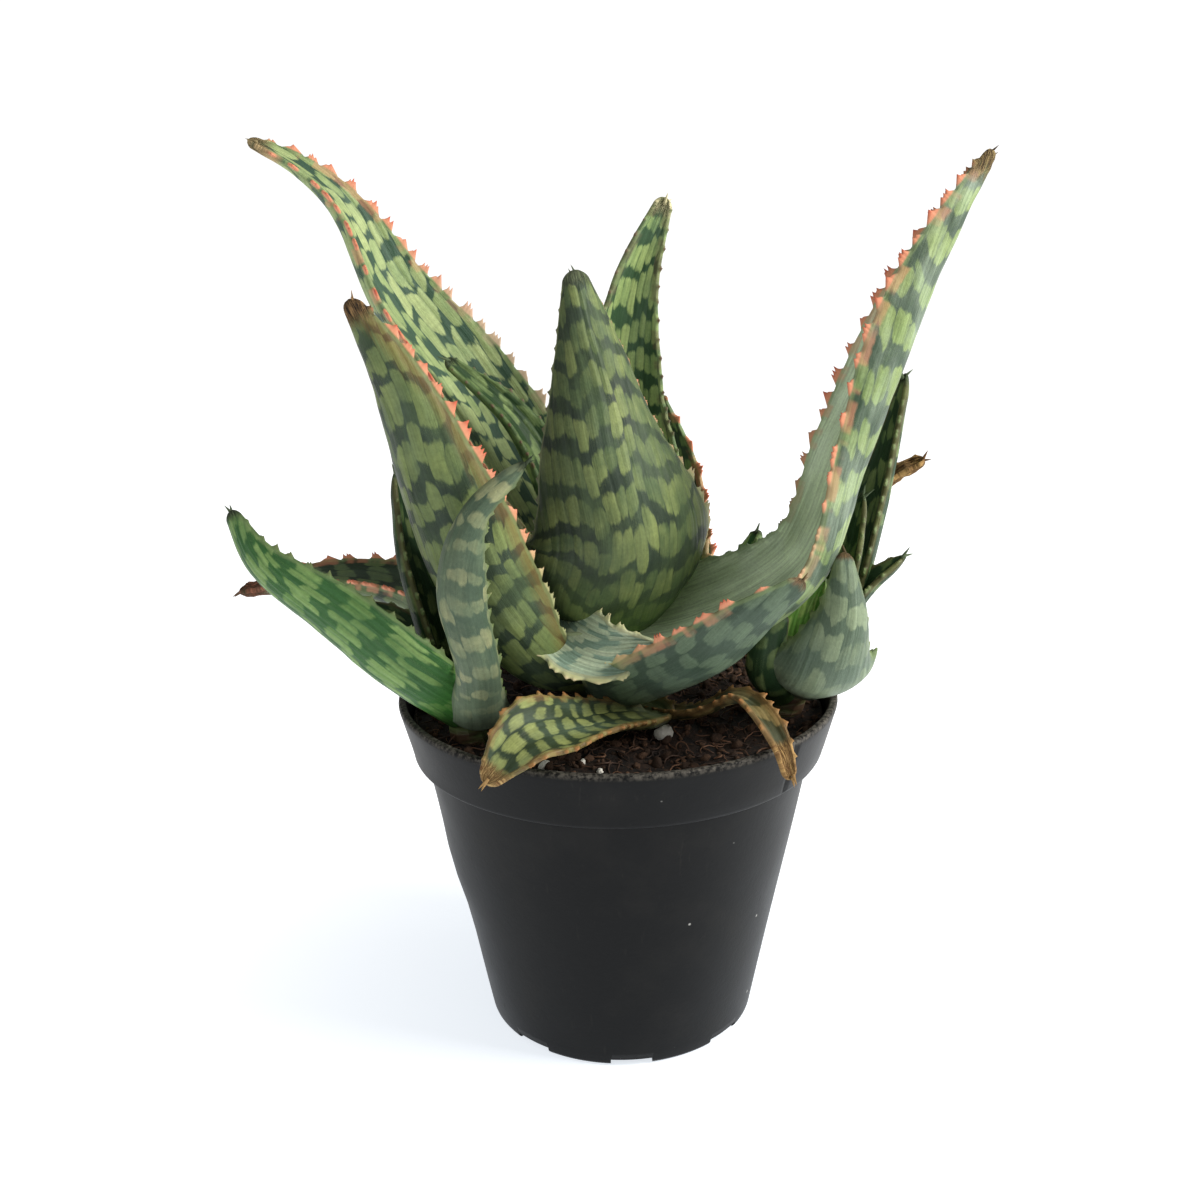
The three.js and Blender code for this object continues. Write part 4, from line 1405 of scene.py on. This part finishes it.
DRIED_SKIN = replace(
    SKIN, dark=rgb(62, 60, 34), light=rgb(140, 122, 76), seam=rgb(106, 92, 54), base=rgb(70, 68, 38),
    margin=rgb(126, 92, 56), column=1.6, cell=11.0, dry_from=0.88, dry=rgb(172, 138, 88),
    dry_dark=rgb(102, 74, 46), dull=0.62, blush=0.3,
)

LEAVES = (
    Leaf(
        "leaf_low_left", Slot.GREY,
        [[-5, 10, 86], [-14, 11, 90], [-35, 14, 96.5], [-54, 16, 105], [-72, 14, 108.5], [-93, 10, 107]],
        [20, 27, 25, 19, 12, 2.4], [60, 50, 42, 40], [[-0.3, -0.1, 1], [0, -0.1, 1], [0, -0.1, 1]],
        [4.5, 5, 4, 1.8], LOW_LEFT_SKIN, seed=1,
    ),
    Leaf(
        "leaf_low_back", Slot.MAIN,
        [[2, 14, 85], [8, 26, 90], [14, 44, 98], [17, 60, 110], [17, 68, 124]], [22, 29, 26, 16, 2.4],
        [60, 52, 50, 45], [[0, -0.2, 1], [0, -0.5, 0.9], [0, -1, 0.4]], [4.5, 5, 4, 1.8], WIDE_SKIN,
        seed=2,
    ),
    Leaf(
        "leaf_low_right", Slot.GREY,
        [[-1, -1, 86], [7, -21, 94], [21, -32, 104], [30, -38, 114], [36, -40, 120], [39, -40, 123]],
        [20, 23, 28, 28, 19, 5], [62, 54, 52], [[-0.3, 0.2, 0.9], [-0.5, 0.5, 0.7], [-0.4, 0.5, 0.7]],
        [5, 5, 4, 2], GLAUCOUS_SKIN, seed=3,
    ),
    Leaf(
        "leaf_right_behind", Slot.FRESH, [[6, 6, 87], [17, 10, 93], [27, 16, 102], [36, 24, 117]],
        [10, 13, 10, 2.4], [55, 50], [[-0.4, -0.2, 0.8], [-0.7, -0.3, 0.5]], [3, 3, 1.6], FRESH_SKIN,
        PUP_TEETH, PUP_TEETH, seed=4,
    ),
    Leaf(
        "leaf_back_wide", Slot.MAIN,
        [[1, 15, 89], [6, 27, 95], [10.5, 36, 105], [12.5, 41, 124], [10.5, 45, 149]],
        [24, 29, 27, 18, 3], [62, 56, 50, 45], [[0, -0.8, 0.8], [0, -1, 0.5], [0, -1, 0.2]], [5, 5, 4, 2],
        WIDE_SKIN, seed=5,
    ),
    Leaf(
        "leaf_front_left", Slot.MAIN,
        [
            [-8, -3, 88], [-20, -19, 99], [-31.5, -26, 118], [-38, -30, 139], [-45, -32, 163],
            [-53.5, -30, 181],
        ],
        [12, 18, 29, 31, 24, 14, 2.6], [66, 64, 50, 45],
        [[0.4, 0.6, 0.6], [0.6, 0.8, 0.2], [0.6, 0.8, 0.1]], [5, 5.5, 4.5, 2], FRONT_LEFT_SKIN,
        replace(TEETH, height=(0.6, 1.6, 2.4, 1.6)), LITTLE_TEETH, seed=6,
    ),
    Leaf(
        "leaf_upper_left", Slot.MAIN,
        [
            [-4, 11, 95], [-21, 20, 125], [-39, 28, 155], [-54, 32, 175], [-65, 32, 197], [-74, 31, 206],
            [-86, 30, 213],
        ],
        [30, 40, 36, 30, 22, 10, 2], [76, 60, 50, 50, 50, 40],
        [[0.6, -0.45, 0.6], [0.7, -0.5, 0.4], [0.72, -0.36, 0.55]], [5, 5, 4, 1.8], UPPER_LEFT_SKIN,
        replace(TEETH, height=(2.2, 2.4, 2.4, 1.6), turn=0.3),
        replace(
            TEETH, height=(2.4, 2.8, 2.6, 1.6), turn=0.62, gum_low=rgb(214, 188, 156),
            cusp_low=rgb(226, 196, 168),
        ),
        seed=7,
    ),
    Leaf(
        "leaf_long_right", Slot.GREY,
        [
            [-9, -8, 98], [18, -14, 104], [41, -18, 119], [51, -18, 145], [60, -14, 166], [69, -10, 186],
            [81, -6, 208],
        ],
        [28, 36, 29, 21, 24, 25, 15, 2.4], [66, 50, 60, 75, 75],
        [[-0.1, 0, 1], [-0.8, -0.3, 0.7], [-0.95, 0.08, 0.3], [-0.92, 0.16, 0.35]], [5, 5, 4, 1.8],
        LONG_RIGHT_SKIN,
        replace(
            TEETH, height=(0.5, 0.8, 1.0, 2.4, 2.4, 1.6), turn=0.5, gum_low=rgb(112, 132, 100),
            cusp_low=rgb(140, 140, 106),
        ),
        replace(TEETH, height=(1.0, 1.2, 1.6, 2.0, 2.2, 1.6), turn=0.42, gum_low=rgb(168, 172, 130)),
        seed=8,
    ),
    Leaf(
        "leaf_back_upright", Slot.MAIN,
        [[2, 11, 97], [6, 20, 126], [2, 24, 151], [5, 26, 177], [13, 28, 198]], [20, 24, 22, 19, 11, 2.6],
        [68, 62, 58, 45], [[0.3, -1, 0.5], [0.2, -1, 0.1]], [4, 3.6, 3, 1.8], BACK_SKIN, LITTLE_TEETH,
        LITTLE_TEETH, seed=9,
    ),
    Leaf(
        "leaf_centre", Slot.MAIN,
        [[-2, 2, 99], [0, -15, 111], [3, -22, 127], [-1, -20, 147], [-5, -12, 167], [-8.5, -6, 184]],
        [24, 43, 48, 38, 26, 14.5, 3.4], [70, 47, 46, 46],
        [[0, 0.6, 0.8], [-0.38, 1, 0.2], [-0.15, 1, 0]], [5, 5.5, 4.5, 2.2], CENTRE_SKIN,
        replace(
            TEETH, height=(3.2, 3.6, 3.0, 1.6, 0.8), spacing=4.4, turn=0.6, cusp_low=rgb(226, 212, 164),
        ),
        LITTLE_TEETH, seed=10,
    ),
    Leaf(
        "leaf_inner_left", Slot.MAIN, [[-5, 8, 99], [-12, 12, 123], [-23, 16, 146], [-40, 18, 162]],
        [14, 17, 13, 8, 2], [66, 60, 50], [[0.5, -0.5, 0.6], [0.6, -0.6, 0.5]], [3.4, 3, 1.6],
        replace(
            DEEP_SKIN, dark=rgb(50, 74, 44), light=rgb(152, 174, 110), margin=rgb(96, 118, 70), gap=0.42,
        ),
        LITTLE_TEETH, LITTLE_TEETH, seed=11,
    ),
    Leaf(
        "leaf_short_front", Slot.GREY,
        [[-13, -5, 110], [-12, -19, 105], [-3, -28.5, 103], [9.5, -31, 105]], [4, 8, 16, 12, 2], [42, 40],
        [[0, -0.7, 0.7], [0, -0.9, 0.5]], [3.4, 3, 1.6], PALE_SKIN, CREAM_TEETH, CREAM_TEETH, seed=12,
    ),
    Leaf(
        "leaf_over_rim", Slot.FRESH,
        [[3, 2, 80], [9, -14, 83], [-3, -32, 89], [-11, -43, 92], [-19, -52, 93], [-27.5, -59, 86]],
        [8, 8, 9, 13, 15, 3], [40, 40], [[0, -0.3, 1], [0, -0.5, 0.9], [-0.3, -0.9, 0.3]], [3, 2.8, 2],
        OVER_RIM_SKIN, BROWN_TEETH, BROWN_TEETH, crumple=0.35, seed=13,
    ),
    Leaf(
        "leaf_dried", Slot.DRY,
        [[5, 2, 79], [17, -18, 85], [27, -27, 92], [31, -36, 92], [35, -44, 87], [37, -46, 80]],
        [5, 5, 6, 6, 5, 2], [40, 40], [[0, -0.2, 1], [0.2, -0.3, 1], [0.4, -0.9, 0.2]], [2.2, 2, 1.4],
        DRIED_SKIN, BROWN_TEETH, BROWN_TEETH, crumple=0.5, seed=14,
    ),
    Leaf(
        "left_pup_leaf_long", Slot.FRESH,
        [[-36, -20, 86], [-50, -26, 99], [-62, -28, 111], [-78, -26, 124], [-84, -22, 135]],
        [13, 25, 25, 22, 15, 3.4], [60, 60, 47], [[0.3, 0.5, 0.75], [0.35, 0.6, 0.7]], [4, 4, 3.4, 2],
        FRESH_SKIN, PUP_TEETH, PUP_TEETH, seed=15,
    ),
    Leaf(
        "left_pup_leaf_front", Slot.GREY,
        [[-32, -24, 86], [-30.5, -38, 104], [-33, -42, 122], [-29, -43, 138], [-18, -42, 149]],
        [16, 10, 10, 11, 5, 1.6], [70, 60, 50], [[0, 0.8, 0.6], [0.3, 0.9, 0], [0.5, 0.8, 0]],
        [3.2, 3, 1.6], FRONT_PUP_SKIN, PUP_TEETH, replace(CREAM_TEETH, height=(2.6, 2.8, 1.4, 1.0, 0.8)),
        point=6, seed=16,
    ),
    Leaf(
        "left_pup_leaf_upright", Slot.FRESH,
        [[-37, -18, 88], [-42, -16, 105], [-47, -14, 123], [-49, -12, 141]], [10, 15, 12, 7, 2], [55, 50],
        [[0.8, -0.3, 0.4], [0.8, -0.3, 0.2]], [3.4, 3, 1.6], DEEP_SKIN, PUP_TEETH, PUP_TEETH, point=6,
        seed=17,
    ),
    Leaf(
        "left_pup_leaf_back", Slot.FRESH,
        [[-38, -15, 88], [-44, -11, 97], [-50, -9, 104], [-58, -7, 109]], [8, 11, 9, 6, 2], [50, 50],
        [[0.5, -0.3, 0.8], [0.3, -0.3, 0.8]], [2.6, 2.4, 1.4], DEEP_SKIN, PUP_TEETH, PUP_TEETH, point=6,
        seed=18,
    ),
    Leaf(
        "right_pup_leaf_front", Slot.GREY, [[45, -9, 87], [47, -24, 96], [50, -27, 111], [50, -23, 124]],
        [13, 30, 20, 10, 2], [66, 58, 50], [[0, 0.6, 0.8], [-0.1, 1, 0.2], [-0.2, 1, 0]], [3.4, 3.4, 1.6],
        replace(
            GLAUCOUS_SKIN, base=rgb(150, 165, 135), light=rgb(128, 142, 112), dark=rgb(82, 98, 80),
            dry_from=0.97, fade=(0.1, 0.5),
        ),
        PUP_TEETH, PUP_TEETH, seed=19,
    ),
    Leaf(
        "right_pup_leaf_narrow", Slot.FRESH, [[39, -7, 84], [34, -19, 96], [36, -22, 110]], [7, 9, 8, 4],
        [60, 60], [[0, 0.6, 0.6], [0, 1, 0]], [2.6, 2.4, 1.6], DEEP_SKIN, LITTLE_TEETH, LITTLE_TEETH,
        seed=20,
    ),
    Leaf(
        "right_pup_leaf_tall", Slot.FRESH, [[46, 0, 88], [55, 2, 109], [62, 4, 134], [67, 4, 159]],
        [12, 17, 12, 6.4, 1.6], [60, 55], [[-0.6, -0.5, 0.6], [-0.8, -0.5, 0]], [3.4, 3.2, 1.6],
        DEEP_SKIN, PUP_TEETH, PUP_TEETH, point=6, seed=21,
    ),
    Leaf(
        "right_pup_leaf_outer", Slot.FRESH,
        [[46, -4, 88], [53, -5, 103], [59, -6, 111.5], [67, -6, 118.5]], [9, 13, 8, 1.8], [55, 50],
        [[-0.6, -0.2, 0.8], [-0.6, -0.2, 0.8]], [3, 2.6, 1.6], DEEP_SKIN, PUP_TEETH, PUP_TEETH, point=6,
        seed=22,
    ),
    Leaf(
        "right_pup_leaf_dry_tip", Slot.DRY, [[43, 1, 89], [54, 10, 113], [64, 12, 131], [74, 11, 137.5]],
        [8, 10, 8, 5.4, 3.4], [50, 50], [[-0.6, -0.3, 0.6], [-0.4, -0.3, 0.9]], [2.8, 2.4, 1.6],
        replace(DRIED_SKIN, dry_from=0.5), BROWN_TEETH, BROWN_TEETH, crumple=0.4, seed=23,
    ),
    Leaf(
        "right_pup_leaf_toothed", Slot.FRESH, [[45, -3, 90], [51, -8, 112], [56, -9, 134]], [9, 13, 9, 2],
        [55, 50], [[-0.5, -0.7, 0.4], [-0.6, -0.7, 0.2]], [2.6, 2.4, 1.4], DEEP_SKIN, PUP_TEETH,
        PUP_TEETH, point=6, seed=24,
    ),
    Leaf(
        "right_pup_leaf_inner", Slot.FRESH,
        [[43, -5, 89], [42, -15, 101], [44, -15, 110], [47, -14, 116]], [9, 15, 14, 8, 2], [50, 50],
        [[0.2, -0.7, 0.6], [0, -0.9, 0.3]], [2.6, 2.4, 1.6],
        replace(FRESH_SKIN, dark=rgb(92, 136, 54), light=rgb(150, 176, 90)), PUP_TEETH, PUP_TEETH,
        seed=25,
    ),
)


@dataclass(frozen=True)
class Studio:
    """The camera, the floor and the soft lights."""

    place: tuple[float, float, float] = (0.0, -328.089, 209.687)
    pitch: float = 0.305
    yaw: float = -0.012
    roll: float = -0.016
    focal_pixels: float = 1439.783
    frame_pixels: float = 1200.0
    film: float = 36.0
    floor_size: float = 1500.0
    ambient: float = 0.30
    # Painted shade: the floor's dimmer glow round the pot.
    painted_shade_glow: float = 0.74
    far_glow: float = 1.0
    backdrop: float = 1.1
    aim_height: float = 110.0
    near_clip: float = 0.01

    def build(self) -> None:
        """Sets up everything round the plant."""
        self.camera()
        self.floor()
        self.sky()
        self.lamp("key_light", (520, -150, 480), 300, 4.8, (1.0, 0.985, 0.95))
        self.lamp("side_light", (620, 60, 90), 160, 0.8, (1.0, 1.0, 1.0))
        self.lamp("fill_light", (-420, -520, 520), 600, 0.9, (0.93, 0.97, 1.0))

    def camera(self) -> None:
        """Makes the camera at the photograph's place."""
        sy, cy = math.sin(self.yaw), math.cos(self.yaw)
        sp, cp = math.sin(self.pitch), math.cos(self.pitch)
        ahead = Vector((sy * cp, cy * cp, -sp))
        level = Vector((cy, -sy, 0.0))
        up = level.cross(ahead)
        sr, cr = math.sin(self.roll), math.cos(self.roll)
        right = level * cr + up * sr
        top = up * cr - level * sr
        lens = bpy.data.cameras.new("camera")
        lens.sensor_width = self.film
        lens.lens = self.film * self.focal_pixels / self.frame_pixels
        lens.clip_start = self.near_clip
        camera = place_object("camera", lens)
        turn = Matrix((right, top, -ahead)).transposed()
        camera.matrix_world = Matrix.Translation(Vector(self.place) * MM) @ turn.to_4x4()
        bpy.context.scene.camera = camera

    def floor(self) -> None:
        """Makes the pale floor: it glows, dimmer and bluer round the pot's foot as painted shade."""
        half = self.floor_size / 2 * MM
        mesh = bpy.data.meshes.new("floor")
        corners = [(-half, -half, 0), (half, -half, 0), (half, half, 0), (-half, half, 0)]
        mesh.from_pydata(corners, [], [(0, 1, 2, 3)])
        g = Graph("floor_glow_painted_shade")
        distance = g.add("ShaderNodeVectorMath", {"operation": "LENGTH"}, {0: g.place()}, out=1)
        # Painted shade: within about 0.2 m of the pot's middle the floor glows dimmer and bluer, whatever
        # the lamps do.
        near, far = self.painted_shade_glow, self.far_glow
        shade = (near * 0.94, near * 0.99, near * 1.05, 1.0)
        glow = g.mix(distance.rise(0.03, 0.2), shade, (far, far, far, 1.0))
        mesh.materials.append(g.finish(
            Base_Color=(0.56, 0.58, 0.60, 1.0), Roughness=0.7, Specular_IOR_Level=0.1,
            Emission_Color=glow, Emission_Strength=1.0,
        ))
        floor = place_object("floor", mesh)

    def sky(self) -> None:
        """Makes white surroundings that light the plant softly, and sets how the picture is shown."""
        world = bpy.data.worlds.new("studio")
        world.use_nodes = True
        nodes, links = world.node_tree.nodes, world.node_tree.links
        nodes["Background"].inputs["Color"].default_value = (1.0, 1.0, 1.0, 1.0)
        seen = nodes.new("ShaderNodeLightPath").outputs["Is Camera Ray"]
        strength = nodes.new("ShaderNodeMapRange")
        strength.inputs["To Min"].default_value = self.ambient
        strength.inputs["To Max"].default_value = self.backdrop
        links.new(seen, strength.inputs["Value"])
        links.new(strength.outputs["Result"], nodes["Background"].inputs["Strength"])
        bpy.context.scene.world = world
        bpy.context.scene.view_settings.view_transform = "Standard"

    def lamp(
        self, name: str, place: Sequence[float], size: float, power: float, colour: Sequence[float],
    ) -> None:
        """Makes a square soft light that looks at the plant.

        Args:
            name: The light's name.
            place: Where it stands.
            size: The length of its sides.
            power: Its power in watts.
            colour: Its colour.
        """
        light = bpy.data.lights.new(name, "AREA")
        light.size = size * MM
        light.energy = power
        light.color = colour
        lamp = place_object(name, light)
        lamp.location = Vector(place) * MM
        aim = Vector((0, 0, self.aim_height)) * MM - lamp.location
        lamp.rotation_euler = aim.to_track_quat("-Z", "Y").to_euler()


def main() -> None:
    """Builds the studio and the plant."""
    logging.basicConfig(level=logging.INFO, format="%(message)s")
    Studio().build()
    pot = NurseryPot()
    pot.build()
    Soil(pot).build()
    StemFinish().dress(["stem_main", "stem_pup_left", "stem_pup_right"])
    for leaf in LEAVES:
        leaf.build()


if __name__ == "__main__":
    main()
